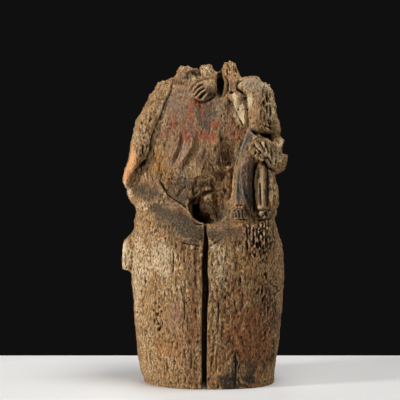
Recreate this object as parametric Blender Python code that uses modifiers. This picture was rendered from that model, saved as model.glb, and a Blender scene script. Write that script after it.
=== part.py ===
"""A seated mother with a child standing on her knee, carved from one log, both heads lost.

Metres, +Z up. The carving faces -Y, its flat back faces +Y, and the origin is on the floor in the
middle of its width and depth. The whole group is one piece of wood, so it is one solid.

The figure's pose and carving are written in carver's units: thousandths of a metre on a block 700
high, 363 wide and 250 deep. The three sizes of the block below stretch them.
"""

import math

import bmesh
import bpy
import numpy as np
from mathutils import Matrix, Vector

# Sizes of the block
HEIGHT = 0.700
WIDTH = 0.363
DEPTH = 0.250

# The drying crack that opened from the underside up to the lap
CRACK_WIDTH = 0.0135
CRACK_DEPTH = 0.112
CRACK_ROOT = 0.3  # the width at its root, as a share of that at the front

CRACK_CUTTER_REACH = 0.015  # how far its cutter starts outside the wood

# Sizes of the mesh
FUSE_VOXEL = 0.0045
SKIN_VOXEL = 0.0032
SMALLEST_EDGE = 0.0003
TRIANGLES = 9700

# The block as drawn, in carver's units: across, deep and high
DRAWN = (363, 250, 700)
STRETCH = Vector((WIDTH / DRAWN[0], DEPTH / DRAWN[1], HEIGHT / DRAWN[2]))

# The middle of the log's depth, and how square its back is, as the power of a superellipse: 2 is round
LOG_CENTRE_Y = 12
BACK_POWER = 3.6

# The log and the mother's body: height, left side, right side, front, back, left and right front powers
BODY = (
    (-14, -134, 151, -113, 123, 2.05, 2.6),
    (0, -134, 151, -115, 123, 2.05, 2.6),
    (16, -141, 153, -119, 124, 2.05, 2.6),
    (40, -146, 156, -122, 125, 2.05, 2.6),
    (90, -151, 162, -124, 125, 2.05, 2.6),
    (140, -156, 168, -125, 125, 2.05, 2.7),
    (200, -161, 172, -126, 125, 2.05, 2.9),
    (262, -165, 172, -126, 125, 2.1, 3.3),
    (292, -166, 169, -124, 125, 2.2, 3.4),
    (316, -162, 163, -115, 125, 2.3, 3.3),
    (340, -154, 153, -100, 125, 2.4, 3.1),
    (360, -150, 142, -84, 125, 2.4, 2.8),
    (382, -155, 138, -68, 125, 2.4, 2.8),
    (402, -165, 138, -57, 125, 2.4, 2.8),
    (424, -169, 138, -53, 125, 2.5, 2.8),
    (442, -165, 140, -56, 125, 2.7, 2.8),
    (464, -154, 142, -63, 124, 2.9, 2.9),
    (500, -146, 144, -65, 123, 3.1, 3.0),
    (540, -140, 144, -63, 120, 3.2, 3.0),
    (580, -131, 142, -58, 114, 3.2, 3.0),
    (620, -114, 138, -51, 103, 3.2, 3.0),
    (645, -103, 132, -45, 90, 3.0, 3.0),
    (656, -96, 124, -40, 80, 2.8, 2.8),
    (662, -84, 108, -34, 70, 2.6, 2.6),
)

# Limbs: each section is x, y, z, half the width across, half the depth
UPPER_ARM = (
    (-88, 20, 655, 15, 40),
    (-93, 20, 642, 18, 50),
    (-103, 18, 612, 22, 60),
    (-123, 10, 562, 29, 64),
    (-137, 4, 512, 27, 65),
    (-151, -2, 478, 19, 60),
    (-165, -6, 454, 13.5, 46),
    (-171, -4, 438, 9, 32),
    (-170, 0, 428, 5, 20),
)
LEFT_THIGH = (
    (-120, 16, 352, 30, 48),
    (-96, -18, 352, 33, 50),
    (-66, -44, 345, 36, 50),
    (-34, -60, 328, 36, 48),
    (-4, -66, 308, 34, 46),
)
RIGHT_THIGH = (
    (120, 6, 318, 34, 50),
    (86, -34, 320, 38, 54),
    (50, -56, 316, 36, 50),
    (14, -66, 304, 36, 48),
)
RIGHT_KNEE = (
    (98, -26, 200, 24, 50),
    (101, -28, 240, 36, 64),
    (103, -32, 284, 48, 86),
    (103, -34, 318, 54, 92),
    (101, -36, 344, 52, 89),
    (100, -38, 357, 48, 84),
)
FAR_ARM = (
    (129, -12, 648, 9, 46),
    (131, -12, 638, 15, 54),
    (134, -12, 612, 20, 64),
    (137, -13, 580, 22, 66),
    (141, -12, 552, 24, 62),
    (148, -12, 520, 24, 52),
    (150, -14, 490, 22, 44),
)
FOREARM = (
    (140, 16, 484, 30, 28),
    (143, -18, 486, 36, 32),
    (142, -48, 490, 37, 34),
    (132, -72, 496, 31, 32),
    (116, -88, 508, 24, 26),
    (101, -97, 522, 16, 17),
    (92, -100, 528, 8, 10),
)
CHILD_SHOULDER = (
    (126, -48, 634, 13, 28),
    (110, -54, 641, 18, 32),
    (92, -56, 645, 19, 32),
    (80, -54, 645, 16, 26),
)
CHILD_BODY = (
    (106, -48, 657, 13, 26),
    (108, -52, 636, 19, 34),
    (110, -54, 600, 18, 36),
    (111, -56, 560, 19, 36),
    (112, -58, 540, 17, 34),
    (112, -60, 522, 12, 28),
)
ROBE_NEAR_LEG = (
    (103, -64, 545, 12, 28),
    (95, -70, 520, 13, 32),
    (86, -72, 482, 17, 36),
    (82, -74, 440, 19, 40),
    (80, -75, 405, 20, 41),
    (80, -72, 380, 21, 39),
    (78, -70, 352, 20, 36),
)
ROBE_FAR_LEG = (
    (128, -48, 500, 16, 40),
    (130, -52, 462, 17, 46),
    (133, -54, 430, 20, 48),
    (135, -54, 405, 24, 48),
    (133, -52, 384, 24, 44),
    (130, -50, 364, 22, 40),
    (129, -50, 352, 20, 38),
)
KNEE_KNOB = (
    (-156, 0, 322, 6, 26),
    (-163, 0, 303, 15, 34),
    (-167, 0, 272, 15, 36),
    (-168, 0, 244, 14.5, 34),
)
NECK_STUMP = (
    (-2, 30, 640, 60, 46),
    (-2, 28, 660, 52, 40),
    (-4, 28, 674, 38, 32),
)
LEFT_NECK_LUMP = (
    (-48, -8, 632, 27, 34),
    (-47, -8, 660, 24, 30),
    (-44, -5, 679, 19, 24),
    (-42, -4, 688, 17, 20),
)
MIDDLE_NECK_LUMP = (
    (11, -14, 632, 25, 34),
    (11, -14, 660, 24, 30),
    (8, -10, 676, 20, 24),
    (4, -8, 686, 12, 18),
    (1, -8, 692, 5, 10),
)
VEIL_STUB = (
    (55, -18, 604, 20, 26),
    (55, -18, 660, 20, 24),
    (55, -16, 684, 17, 22),
    (54, -15, 699, 14, 18),
)
VEIL_LUMP = (
    (62, -38, 600, 10, 20),
    (62, -40, 635, 12, 22),
    (63, -38, 655, 12, 20),
    (64, -36, 667, 10, 16),
)
CHILD_HAND = (
    (29, -47, 638, 15, 13),
    (14, -50, 639, 14, 13),
    (2, -53, 634, 13, 12),
    (-12, -53, 624, 13, 10),
    (-24, -52, 611, 9, 7),
)
NEAR_FOOT = (
    (71, -97, 352, 21, 30),
    (71, -97, 368, 20, 29),
    (71, -92, 381, 16, 24),
    (72, -86, 390, 9, 16),
)
FAR_FOOT = (
    (124, -82, 352, 19, 31),
    (124, -82, 367, 18, 30),
    (124, -76, 379, 12, 22),
)

# Hollows cut out of the mass: centre, then half sizes along x, y and z
LAP_HOLLOW_DEEP = ((-6, -52, 372), (20, 56, 32))
LAP_HOLLOW_WIDE = ((14, -84, 388), (39, 56, 44))
HIP_GAP = ((134, -84, 536), (22, 28, 8))
ROBE_PLEAT = ((105, -114, 420), (8, 44, 62))
NECK_CHANNEL = ((31, -34, 650), (7, 30, 42))
NECK_NOTCH = ((-18, -22, 694), (6, 34, 20))

# The crack's run: height, middle, and its width as a share of the widest
CRACK = (
    (-20, -2, 1),
    (90, -2, 0.95),
    (170, -1, 1),
    (215, 1, 1.1),
    (250, -1, 1),
    (285, 0, 0.95),
    (309, 2, 0.9),
    (322, 1, 0.6),
    (335, 0, 0.45),
    (356, -1, 0.3),
)

# Relief cut into the front: how quickly a cut and a step fade in from their lines' ends, and how wide
# the slope is at a step. The lines' points are x and z.
CUT_FADE_IN = 4
STEP_FADE_IN = 3
STEP_SLOPE = 5
CHEST_EDGE_LEFT = ((-72, 646), (-78, 622), (-87, 596), (-93, 575), (-100, 553), (-108, 532), (-114, 500))
SLEEVE_EDGE_LEFT = ((-114, 504), (-120, 490), (-133, 480), (-144, 466), (-151, 452))
CHEST_EDGE_RIGHT = ((50, 616), (57, 594), (65, 572), (76, 553), (87, 536))
LAP_EDGE = ((-96, 432), (-85, 418), (-74, 405), (-57, 394), (-31, 379))
KNEE_LEDGE = ((-46, 306), (-34, 301), (-16, 303), (-4, 309))
HEM_RIGHT = ((92, 357), (54, 338), (37, 320), (22, 309), (8, 301))
FOLD_LEFT_GROOVE = ((-50, 560), (-54, 512), (-63, 488), (-74, 462))
FOLD_LEFT_RIDGE = ((-56, 556), (-60, 518), (-70, 497), (-83, 470))
FOLD_MIDDLE_RIDGE = ((-24, 550), (-33, 505), (-45, 482), (-58, 456))
FOLD_MIDDLE_GROOVE = ((-14, 548), (-24, 502), (-34, 478), (-46, 454))
POUCH_EDGE = ((-62, 456), (-48, 444), (-20, 443), (2, 450), (22, 446), (38, 456))
SIDE_GROOVE = ((36, 541), (36, 505), (40, 473), (48, 457))
ROBE_GROOVE = ((70, 474), (70, 440), (72, 400))


def place(x, y, z):
    """A point of the design, in carver's units, as a point of the block in metres."""
    return Vector((x * STRETCH.x, y * STRETCH.y, z * STRETCH.z))


def smooth_rows(rows, steps):
    """The rows of a table with `steps` smooth ones between each pair, on a Catmull-Rom curve."""
    table = np.array(rows, float)
    padded = np.vstack([2 * table[0] - table[1], table, 2 * table[-1] - table[-2]])
    made = []
    for i in range(1, len(padded) - 2):
        a, b, c, d = padded[i - 1 : i + 3]
        for t in np.arange(steps) / steps:
            curve = 2 * b + (c - a) * t + (2 * a - 5 * b + 4 * c - d) * t**2
            made.append((curve + (3 * b - a - 3 * c + d) * t**3) / 2)
    return [*made, table[-1]]


def wood(name="weathered_wood"):
    """Dry, worm-eaten wood: pale brown, quite matt."""
    material = bpy.data.materials.get(name) or bpy.data.materials.new(name)
    material.use_nodes = True
    shader = material.node_tree.nodes["Principled BSDF"]
    shader.inputs["Base Color"].default_value = (0.25, 0.16, 0.095, 1)
    shader.inputs["Roughness"].default_value = 0.85
    shader.inputs["Metallic"].default_value = 0
    return material


def collection(name):
    """The collection of that name, made if it isn't there."""
    found = bpy.data.collections.get(name)
    if not found:
        found = bpy.data.collections.new(name)
        bpy.context.scene.collection.children.link(found)
    return found


def shell(name, rings):
    """A closed object through rings of points, each ring with as many points as the next."""
    mesh = bmesh.new()
    rows = [[mesh.verts.new(point) for point in ring] for ring in rings]
    for lower, upper in zip(rows, rows[1:]):
        for i in range(len(lower)):
            j = (i + 1) % len(lower)
            mesh.faces.new((lower[i], lower[j], upper[j], upper[i]))
    mesh.faces.new(reversed(rows[0]))
    mesh.faces.new(rows[-1])
    bmesh.ops.recalc_face_normals(mesh, faces=mesh.faces)
    data = bpy.data.meshes.new(name)
    mesh.to_mesh(data)
    mesh.free()
    made = bpy.data.objects.new(name, data)
    collection("Carving forms").objects.link(made)
    return made


def superellipse(angle, power):
    """A point of the unit superellipse at that angle."""
    c, s = math.cos(angle), math.sin(angle)
    size = (abs(c) ** power + abs(s) ** power) ** (-1 / power)
    return c * size, s * size


def log_body(sides=96, steps=4):
    """The log from the floor to the shoulders, with the lap's slope in its front."""
    rings = []
    for height, left, right, front, back, left_power, right_power in smooth_rows(BODY, steps):
        ring = []
        for i in range(sides):
            angle = 2 * math.pi * i / sides
            if math.sin(angle) > 0:
                power = BACK_POWER
            else:
                power = right_power if math.cos(angle) > 0 else left_power
            across, deep = superellipse(angle, power)
            reach = (back - LOG_CENTRE_Y) if deep > 0 else (LOG_CENTRE_Y - front)
            x = (left + right) / 2 + across * (right - left) / 2
            ring.append(place(x, LOG_CENTRE_Y + deep * reach, height))
        rings.append(ring)
    return shell("log_body", rings)


def limb(name, sections, power=2.2, sides=32, steps=4):
    """A tapering form along a path, with a section at right angles to it."""
    rows = smooth_rows(sections, steps)
    centres = [Vector(row[:3]) for row in rows]
    rings = []
    for i, row in enumerate(rows):
        along = (centres[min(i + 1, len(rows) - 1)] - centres[max(i - 1, 0)]).normalized()
        deep = Vector((0, 1, 0))
        deep = (deep - along * deep.dot(along)).normalized()
        across = deep.cross(along)
        ring = []
        for k in range(sides):
            a, d = superellipse(2 * math.pi * k / sides, power)
            point = centres[i] + across * (a * row[3]) + deep * (d * row[4])
            ring.append(place(*point))
        rings.append(ring)
    return shell(name, rings)


def hollow(name, centre, halves):
    """An egg-shaped cutter."""
    bpy.ops.mesh.primitive_uv_sphere_add(segments=32, ring_count=16, radius=1)
    cutter = bpy.context.object
    cutter.name = name
    cutter.data.transform(Matrix.Translation(place(*centre)) @ Matrix.Diagonal((*place(*halves), 1)))
    return put_away(cutter)


def put_away(cutter):
    """Moves a cutter to its own collection, out of the picture."""
    for holder in cutter.users_collection:
        holder.objects.unlink(cutter)
    collection("Cutters").objects.link(cutter)
    cutter.display_type = "WIRE"
    cutter.hide_render = True
    return cutter


def apply(piece, kind, **settings):
    """Adds a modifier to a piece and applies it."""
    modifier = piece.modifiers.new(kind.title(), kind)
    for key, value in settings.items():
        setattr(modifier, key, value)
    bpy.context.view_layer.objects.active = piece
    bpy.ops.object.modifier_apply(modifier=modifier.name)


def fuse(name, forms, voxel):
    """Joins closed forms that overlap and grows one skin over them."""
    bpy.ops.object.select_all(action="DESELECT")
    for form in forms:
        form.select_set(True)
    bpy.context.view_layer.objects.active = forms[0]
    bpy.ops.object.join()
    whole = bpy.context.object
    whole.name = name
    apply(whole, "REMESH", mode="VOXEL", voxel_size=voxel)
    return whole


def crack_cutter():
    """The slot that the drying crack left: even at the front, narrowing to its root."""
    rings = []
    front = -DEPTH / 2 - CRACK_CUTTER_REACH
    root = -DEPTH / 2 + CRACK_DEPTH
    for height, middle, share in smooth_rows(CRACK, 3):
        centre = place(middle, 0, height)
        half = CRACK_WIDTH / 2 * share
        corners = ((-half, front), (half, front), (half * CRACK_ROOT, root), (-half * CRACK_ROOT, root))
        rings.append([Vector((centre.x + x, y, centre.z)) for x, y in corners])
    return put_away(shell("crack", rings))


def distance_to(line, x, z):
    """How far each point lies from a line, how far along it (0 to 1), and on which side."""
    points = np.array(smooth_rows(line, 6))
    best = np.full(len(x), 1e9)
    along = np.zeros(len(x))
    side = np.ones(len(x))
    for i, (a, b) in enumerate(zip(points, points[1:])):
        run = b - a
        t = ((x - a[0]) * run[0] + (z - a[1]) * run[1]) / (run @ run)
        t = np.clip(t, 0, 1)
        off_x, off_z = x - a[0] - t * run[0], z - a[1] - t * run[1]
        gap = np.hypot(off_x, off_z)
        nearer = gap < best
        best = np.where(nearer, gap, best)
        along = np.where(nearer, (i + t) / (len(points) - 1), along)
        turned = np.sign(run[0] * off_z - run[1] * off_x)
        side = np.where(nearer, turned, side)
    return best, along, side


def share_along(along, fade_in, grows):
    """The share of a stroke's depth along its line: it fades in from both ends, and may grow."""
    ends = np.clip(np.minimum(along, 1 - along) * fade_in + 0.1, 0, 1)
    return ends * (grows[0] + (grows[1] - grows[0]) * along)


class Front:
    """The front of the carving as the carver sees it: lines are drawn on it and cut in."""

    def __init__(self, piece):
        self.mesh = piece.data
        count = len(self.mesh.vertices)
        self.points = np.empty(count * 3)
        self.mesh.vertices.foreach_get("co", self.points)
        self.points = self.points.reshape(-1, 3) / np.array(STRETCH)
        normals = np.empty(count * 3)
        self.mesh.vertices.foreach_get("normal", normals)
        squarely = -normals.reshape(-1, 3)[:, 1]  # 1 where the wood faces the carver, 0 at the sides
        self.faces_front = np.clip(squarely * 2 - 0.3, 0, 1)
        self.x, self.z = self.points[:, 0].copy(), self.points[:, 2].copy()
        self.push = np.zeros(count)

    def cut(self, line, width, depth, grows=(1, 1)):
        """A groove of that half width and depth along a line. A negative depth raises a ridge.

        `grows` is the share of the depth at the line's start and at its end.
        """
        gap, along, _ = distance_to(line, self.x, self.z)
        share = share_along(along, CUT_FADE_IN, grows)
        self.push += depth * share * np.exp(-((gap / width) ** 2))

    def step(self, line, rise, fade, side=1, grows=(1, 1)):
        """Cloth that overlaps along a line: raised on one side, and level again beyond `fade`."""
        gap, along, where = distance_to(line, self.x, self.z)
        share = share_along(along, STEP_FADE_IN, grows)
        over = np.clip(0.5 + where * side * gap / STEP_SLOPE, 0, 1)
        self.push -= rise * share * over * np.exp(-((gap / fade) ** 2))

    def finish(self):
        """Moves the mesh by what was cut and raised."""
        self.points[:, 1] += self.push * self.faces_front
        placed = self.points * np.array(STRETCH)
        self.mesh.vertices.foreach_set("co", placed.ravel())
        self.mesh.update()


def carve_front(piece):
    """The drapery's edges and folds."""
    front = Front(piece)
    front.step(CHEST_EDGE_LEFT, 8, 36, side=-1, grows=(0.3, 1.3))
    front.cut(CHEST_EDGE_LEFT, 4, 6, grows=(0.3, 1.4))
    front.step(SLEEVE_EDGE_LEFT, 8, 24, side=-1)
    front.cut(SLEEVE_EDGE_LEFT, 5, 10)
    front.step(CHEST_EDGE_RIGHT, 9, 30)
    front.cut(CHEST_EDGE_RIGHT, 4, 6)
    front.step(LAP_EDGE, 6, 30, side=-1)
    front.step(KNEE_LEDGE, 6, 22)
    front.step(HEM_RIGHT, 4, 26)
    front.cut(FOLD_LEFT_GROOVE, 8, 4)
    front.cut(FOLD_LEFT_RIDGE, 8, -3)
    front.cut(FOLD_MIDDLE_RIDGE, 9, -4)
    front.cut(FOLD_MIDDLE_GROOVE, 8, 4)
    front.step(POUCH_EDGE, 6, 20)
    front.cut(SIDE_GROOVE, 8, 8)
    front.cut(ROBE_GROOVE, 6, 6)
    front.finish()


def flat_underside(piece):
    """Saws the log off level with the floor, and merges the shortest edges that the cuts left."""
    mesh = bmesh.new()
    mesh.from_mesh(piece.data)
    everything = [*mesh.verts, *mesh.edges, *mesh.faces]
    cut = bmesh.ops.bisect_plane(
        mesh, geom=everything, plane_co=(0, 0, 0), plane_no=(0, 0, -1), clear_outer=True
    )
    rim = [edge for edge in cut["geom_cut"] if isinstance(edge, bmesh.types.BMEdge)]
    bmesh.ops.contextual_create(mesh, geom=rim)
    bmesh.ops.dissolve_degenerate(mesh, dist=SMALLEST_EDGE, edges=mesh.edges)
    bmesh.ops.triangulate(mesh, faces=mesh.faces)
    bmesh.ops.recalc_face_normals(mesh, faces=mesh.faces)
    mesh.to_mesh(piece.data)
    mesh.free()


def fit_to_block(piece):
    """Brings the finished carving to the block's sizes, standing on the origin."""
    points = np.empty(len(piece.data.vertices) * 3)
    piece.data.vertices.foreach_get("co", points)
    points = points.reshape(-1, 3)
    low, high = points.min(axis=0), points.max(axis=0)
    base = np.array([(low[0] + high[0]) / 2, (low[1] + high[1]) / 2, low[2]])
    points = (points - base) * np.array([WIDTH, DEPTH, HEIGHT]) / (high - low)
    piece.data.vertices.foreach_set("co", points.ravel())
    piece.data.update()


def main():
    for old in list(bpy.data.objects):
        bpy.data.objects.remove(old)
    forms = [
        log_body(),
        limb("upper_arm", UPPER_ARM),
        limb("left_thigh", LEFT_THIGH),
        limb("right_thigh", RIGHT_THIGH),
        limb("right_knee", RIGHT_KNEE, power=2.8),
        limb("far_arm", FAR_ARM),
        limb("forearm", FOREARM, power=2.6),
        limb("child_shoulder", CHILD_SHOULDER, power=2.6),
        limb("child_body", CHILD_BODY, power=2.8),
        limb("robe_near_leg", ROBE_NEAR_LEG),
        limb("robe_far_leg", ROBE_FAR_LEG),
        limb("knee_knob", KNEE_KNOB, power=3),
        limb("neck_stump", NECK_STUMP),
        limb("left_neck_lump", LEFT_NECK_LUMP, power=2.8),
        limb("middle_neck_lump", MIDDLE_NECK_LUMP),
        limb("veil_stub", VEIL_STUB, power=3),
        limb("veil_lump", VEIL_LUMP),
        limb("child_hand", CHILD_HAND),
        limb("near_foot", NEAR_FOOT),
        limb("far_foot", FAR_FOOT),
    ]
    carving = fuse("mother_and_child", forms, FUSE_VOXEL)
    cutters = [
        hollow("lap_hollow_deep", *LAP_HOLLOW_DEEP),
        hollow("lap_hollow_wide", *LAP_HOLLOW_WIDE),
        hollow("hip_gap", *HIP_GAP),
        hollow("robe_pleat", *ROBE_PLEAT),
        hollow("neck_channel", *NECK_CHANNEL),
        hollow("neck_notch", *NECK_NOTCH),
    ]
    for cutter in cutters:
        apply(carving, "BOOLEAN", operation="DIFFERENCE", object=cutter)
    apply(carving, "REMESH", mode="VOXEL", voxel_size=SKIN_VOXEL)
    apply(carving, "SMOOTH", factor=0.5, iterations=3)
    carve_front(carving)
    apply(carving, "REMESH", mode="VOXEL", voxel_size=SKIN_VOXEL)
    apply(carving, "BOOLEAN", operation="DIFFERENCE", object=crack_cutter())
    apply(carving, "DECIMATE", ratio=TRIANGLES / (2 * len(carving.data.polygons)))
    flat_underside(carving)
    fit_to_block(carving)
    carving.data.materials.clear()
    carving.data.materials.append(wood())


main()
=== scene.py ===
# %% [markdown]
# # A mother with a child on her knee, carved from one log
#
# The real object is an old carving about 70 cm high. A mother sits with a child standing on her left
# knee, and both heads are lost. It was cut from a single log with axe, gouge and knife, and painted.
# Damp and time split it from the floor up to the lap, wood worm ate the soft wood along the grain,
# and the paint is left only where the wood was rubbed smooth.
#
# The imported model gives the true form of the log, the figures and the crack. This lesson takes a copy
# of that form and works it as the carver and the years did: fine strokes first, then worm and wear,
# then what is left of the paint. It all stays one piece of wood.

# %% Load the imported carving
import math

import bpy
import numpy as np
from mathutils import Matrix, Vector


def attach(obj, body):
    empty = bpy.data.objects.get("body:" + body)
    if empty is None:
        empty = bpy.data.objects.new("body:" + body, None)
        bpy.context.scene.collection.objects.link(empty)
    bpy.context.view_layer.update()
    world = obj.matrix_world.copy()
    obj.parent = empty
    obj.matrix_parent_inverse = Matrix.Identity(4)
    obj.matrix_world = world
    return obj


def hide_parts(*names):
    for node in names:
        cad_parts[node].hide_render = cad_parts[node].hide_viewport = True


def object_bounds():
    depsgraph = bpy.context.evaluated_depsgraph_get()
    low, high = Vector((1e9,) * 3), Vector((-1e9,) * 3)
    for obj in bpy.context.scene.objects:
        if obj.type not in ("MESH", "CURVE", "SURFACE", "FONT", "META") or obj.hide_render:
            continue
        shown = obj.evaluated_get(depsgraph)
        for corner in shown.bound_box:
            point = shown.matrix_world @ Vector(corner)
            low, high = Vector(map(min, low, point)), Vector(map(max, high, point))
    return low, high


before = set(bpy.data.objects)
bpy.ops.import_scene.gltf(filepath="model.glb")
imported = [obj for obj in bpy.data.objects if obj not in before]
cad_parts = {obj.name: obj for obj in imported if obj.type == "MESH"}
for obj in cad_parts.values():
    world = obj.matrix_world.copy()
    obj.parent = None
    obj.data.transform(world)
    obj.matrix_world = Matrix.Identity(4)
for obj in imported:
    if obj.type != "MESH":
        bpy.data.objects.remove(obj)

packed_box = [list(corner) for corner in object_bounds()]
print("The packed carving's box, in metres:", packed_box)

# %% [markdown]
# ## The camera
#
# A museum photographs a figure like this from the front with a long lens, level with its middle, so
# that its sides stay straight. Here it is a 100 mm lens 2.4 m away and 0.4 m up. The table shows as a
# thin strip, because the lens looks along it. The camera's place is used again later, to draw the
# carved lines as they are seen from the front.

# %% Place the camera
EYE_DISTANCE = 2.44  # metres from the middle of the wood
EYE_HEIGHT = 0.397
EYE_SIDE = -0.0099
LENS = 100  # mm
SENSOR = 36  # mm

camera = bpy.data.objects.new("camera", bpy.data.cameras.new("camera"))
bpy.context.collection.objects.link(camera)
camera.data.lens = LENS
camera.data.sensor_width = SENSOR
camera.location = (EYE_SIDE, -EYE_DISTANCE, EYE_HEIGHT)
camera.rotation_euler = (math.radians(90), 0, 0)
bpy.context.scene.camera = camera
bpy.context.scene.view_settings.view_transform = "Standard"  # colours come out as they are lit
print("The camera stands at", tuple(round(v, 3) for v in camera.location))

# %% [markdown]
# ## The light
#
# Five soft boxes light the carving. The main one, the key, stands at the viewer's left and a little in
# front, so that it rakes across the wood and every worm hole throws a small shadow. A wide one hangs
# overhead and a weak one stands behind the camera. The right side is left darker: one small box there
# and one behind the figure draw a thin bright line along its edges and lift it off the dark room.

# %% Hang the lights
LOOK_AT = Vector((0, 0, 0.36))
LIGHTS = {  # each: its place, its width and height in metres, and its power in watts
    "key_light": ((-2.9, -1.2, 0.85), 0.5, 0.6, 108),
    "top_light": ((0.3, -0.35, 2.15), 0.9, 0.7, 29),
    "fill_light": ((0.5, -3.2, 0.9), 1.2, 1.2, 5.8),
    "right_light": ((1.8, 0.35, 1.2), 0.4, 0.8, 9),
    "back_light": ((-0.4, 2.0, 1.4), 1.4, 0.8, 10),
}


def soft_box(name, place, width, height, watts):
    """A rectangle of light that faces the carving."""
    bpy.ops.object.light_add(type="AREA", location=place)
    light = bpy.context.object
    light.name = name
    light.data.shape = "RECTANGLE"
    light.data.size = width
    light.data.size_y = height
    light.data.energy = watts
    light.rotation_euler = (LOOK_AT - Vector(place)).to_track_quat("-Z", "Y").to_euler()


for name, (place, width, height, watts) in LIGHTS.items():
    soft_box(name, place, width, height, watts)

# %% [markdown]
# ## The table and the dark room
#
# The carving stands on a plain white table, whose far edge is 40 cm behind its middle. Beyond that
# edge is a dark room. The table is a flat box with a rounded edge, so that the edge catches light.

# %% Small helpers to select and finish a piece


def nothing_selected():
    """Deselects every object, because an operator works on all that is selected."""
    if bpy.context.object and bpy.context.object.mode != "OBJECT":
        bpy.ops.object.mode_set(mode="OBJECT")
    bpy.ops.object.select_all(action="DESELECT")


def only(piece):
    """Makes a piece the only selected one, and the active one."""
    nothing_selected()
    piece.select_set(True)
    bpy.context.view_layer.objects.active = piece


def finish_with(piece, kind, **settings):
    """Adds a modifier to a piece, sets it and applies it."""
    only(piece)
    modifier = piece.modifiers.new(kind.title(), kind)
    for name, value in settings.items():
        setattr(modifier, name, value)
    bpy.ops.object.modifier_apply(modifier=modifier.name)


nothing_selected()
print("Objects selected:", len(bpy.context.selected_objects))

# %% Build the table
TABLE_EDGE = 0.40  # metres behind the middle of the carving
TABLE_DEPTH = 3.6
TABLE_WIDTH = 5.0
TABLE_THICK = 0.03
EDGE_ROUNDING = 0.004
ROOM_COLOUR = (0.0052, 0.0052, 0.0054, 1)  # linear, nearly black

middle = (0, TABLE_EDGE - TABLE_DEPTH / 2, -TABLE_THICK / 2)
bpy.ops.mesh.primitive_cube_add(size=1, location=middle, scale=(TABLE_WIDTH, TABLE_DEPTH, TABLE_THICK))
table = bpy.context.object
table.name = "white_table"
bpy.ops.object.transform_apply(location=True, rotation=True, scale=True)
finish_with(table, "BEVEL", width=EDGE_ROUNDING, segments=3)

room = bpy.data.worlds.new("dark_room")
bpy.context.scene.world = room
room.use_nodes = True
room.node_tree.nodes["Background"].inputs["Color"].default_value = ROOM_COLOUR
print("The table's top is at z =", max(v.co.z for v in table.data.vertices))

# %% [markdown]
# ## A working copy of the log
#
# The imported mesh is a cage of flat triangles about 15 mm across. It gives the form, but a worm hole is
# only 3 mm wide. So a copy is merged into one skin and remeshed in small even cells, as fine clay
# would be, and its facets are smoothed away. The lips of the crack are left as they are, because
# smoothing would round them off.

# %% Copy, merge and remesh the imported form
CELL = 0.0015  # metres
SAME_PLACE = 0.00001  # corners nearer than this are one point
SMOOTHING = 15  # rounds
CRACK_TOP = 0.372  # metres above the floor
CRACK_SIDE = 0.0105  # half as wide as the strip that holds the crack and its lips

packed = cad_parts["mother_and_child"]
carving = bpy.data.objects.new("weathered_carving", packed.data.copy())
bpy.context.collection.objects.link(carving)
only(carving)
bpy.ops.object.mode_set(mode="EDIT")
bpy.ops.mesh.select_all(action="SELECT")
bpy.ops.mesh.remove_doubles(threshold=SAME_PLACE)
bpy.ops.object.mode_set(mode="OBJECT")
finish_with(carving, "REMESH", mode="VOXEL", voxel_size=CELL)


def read(piece, what):
    """The places ("co") or the directions ("normal") of a piece's points, as rows of x, y and z."""
    values = np.empty(len(piece.data.vertices) * 3)
    piece.data.vertices.foreach_get(what, values)
    return values.reshape(-1, 3)


at = read(carving, "co")
in_crack = (abs(at[:, 0]) < CRACK_SIDE) & (at[:, 1] < 0) & (at[:, 2] < CRACK_TOP)
soft = carving.vertex_groups.new(name="smoothed")
soft.add(np.flatnonzero(~in_crack).tolist(), 1.0, "REPLACE")
finish_with(carving, "SMOOTH", factor=0.5, iterations=SMOOTHING, vertex_group="smoothed")
print("The working copy has", len(carving.data.vertices), "points")

# %% [markdown]
# ## Easing the form
#
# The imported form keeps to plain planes, and an old log has shrunk and bulged here and there. Where its
# outline or the rim of the hollow in the lap is a few millimetres off, the wood is eased across or up,
# most at the middle of a soft oval and not at all outside it. All places are given in millimetres as
# the camera sees them: across from the middle of the log, and up from the floor.

# %% Ease the form where the old log bulges or shrinks
at = read(carving, "co")
NUDGES = (  # each: across, up, half width, half height, then the move across and up, all in mm
    (-4, 685, 13, 18, -5.7, 3.5), (-63, 676, 13, 20, 0, -10), (-49, 687, 13, 15, 0, -3.5),
    (-29, 686, 11, 15, 2.6, 0.9), (-18, 669, 10, 31, 0, 14), (21, 680, 13, 22, 0, -12),
    (126, 658, 9, 18, 0, -4.8), (153, 630, 9, 18, 1.3, 3.1), (175, 518, 11, 20, 1.8, 3.5),
    (168, 458, 13, 13, 6.6, 3.1), (-168, 404, 18, 29, -6.1, 0), (126, 467, 11, 35, -6.6, 0),
    (126, 428, 11, 40, -7.9, 0), (126, 390, 11, 31, -7, 0), (43, 647, 11, 26, 3.3, 0),
    (152, 636, 11, 13, 2.2, 3.3), (170, 494, 20, 26, -7.5, -1.3), (-18, 384, 18, 37, -21, 0),
    (3, 393, 18, 33, -16, 0), (161, 588, 11, 22, -1.8, -3.3), (166, 538, 11, 13, -7.9, 0),
    (179, 509, 11, 15, -9, -9), (-124, 625, 11, 13, 0, 9), (153, 636, 9, 11, 0, -6.6),
)


def seen_places():
    """Where the camera sees each point, in mm across and up on a plane through the log's middle."""
    nearness = (EYE_DISTANCE + at[:, 1]) / EYE_DISTANCE
    across = ((at[:, 0] - EYE_SIDE) / nearness + EYE_SIDE) * 1000
    return across, ((at[:, 2] - EYE_HEIGHT) / nearness + EYE_HEIGHT) * 1000


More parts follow.
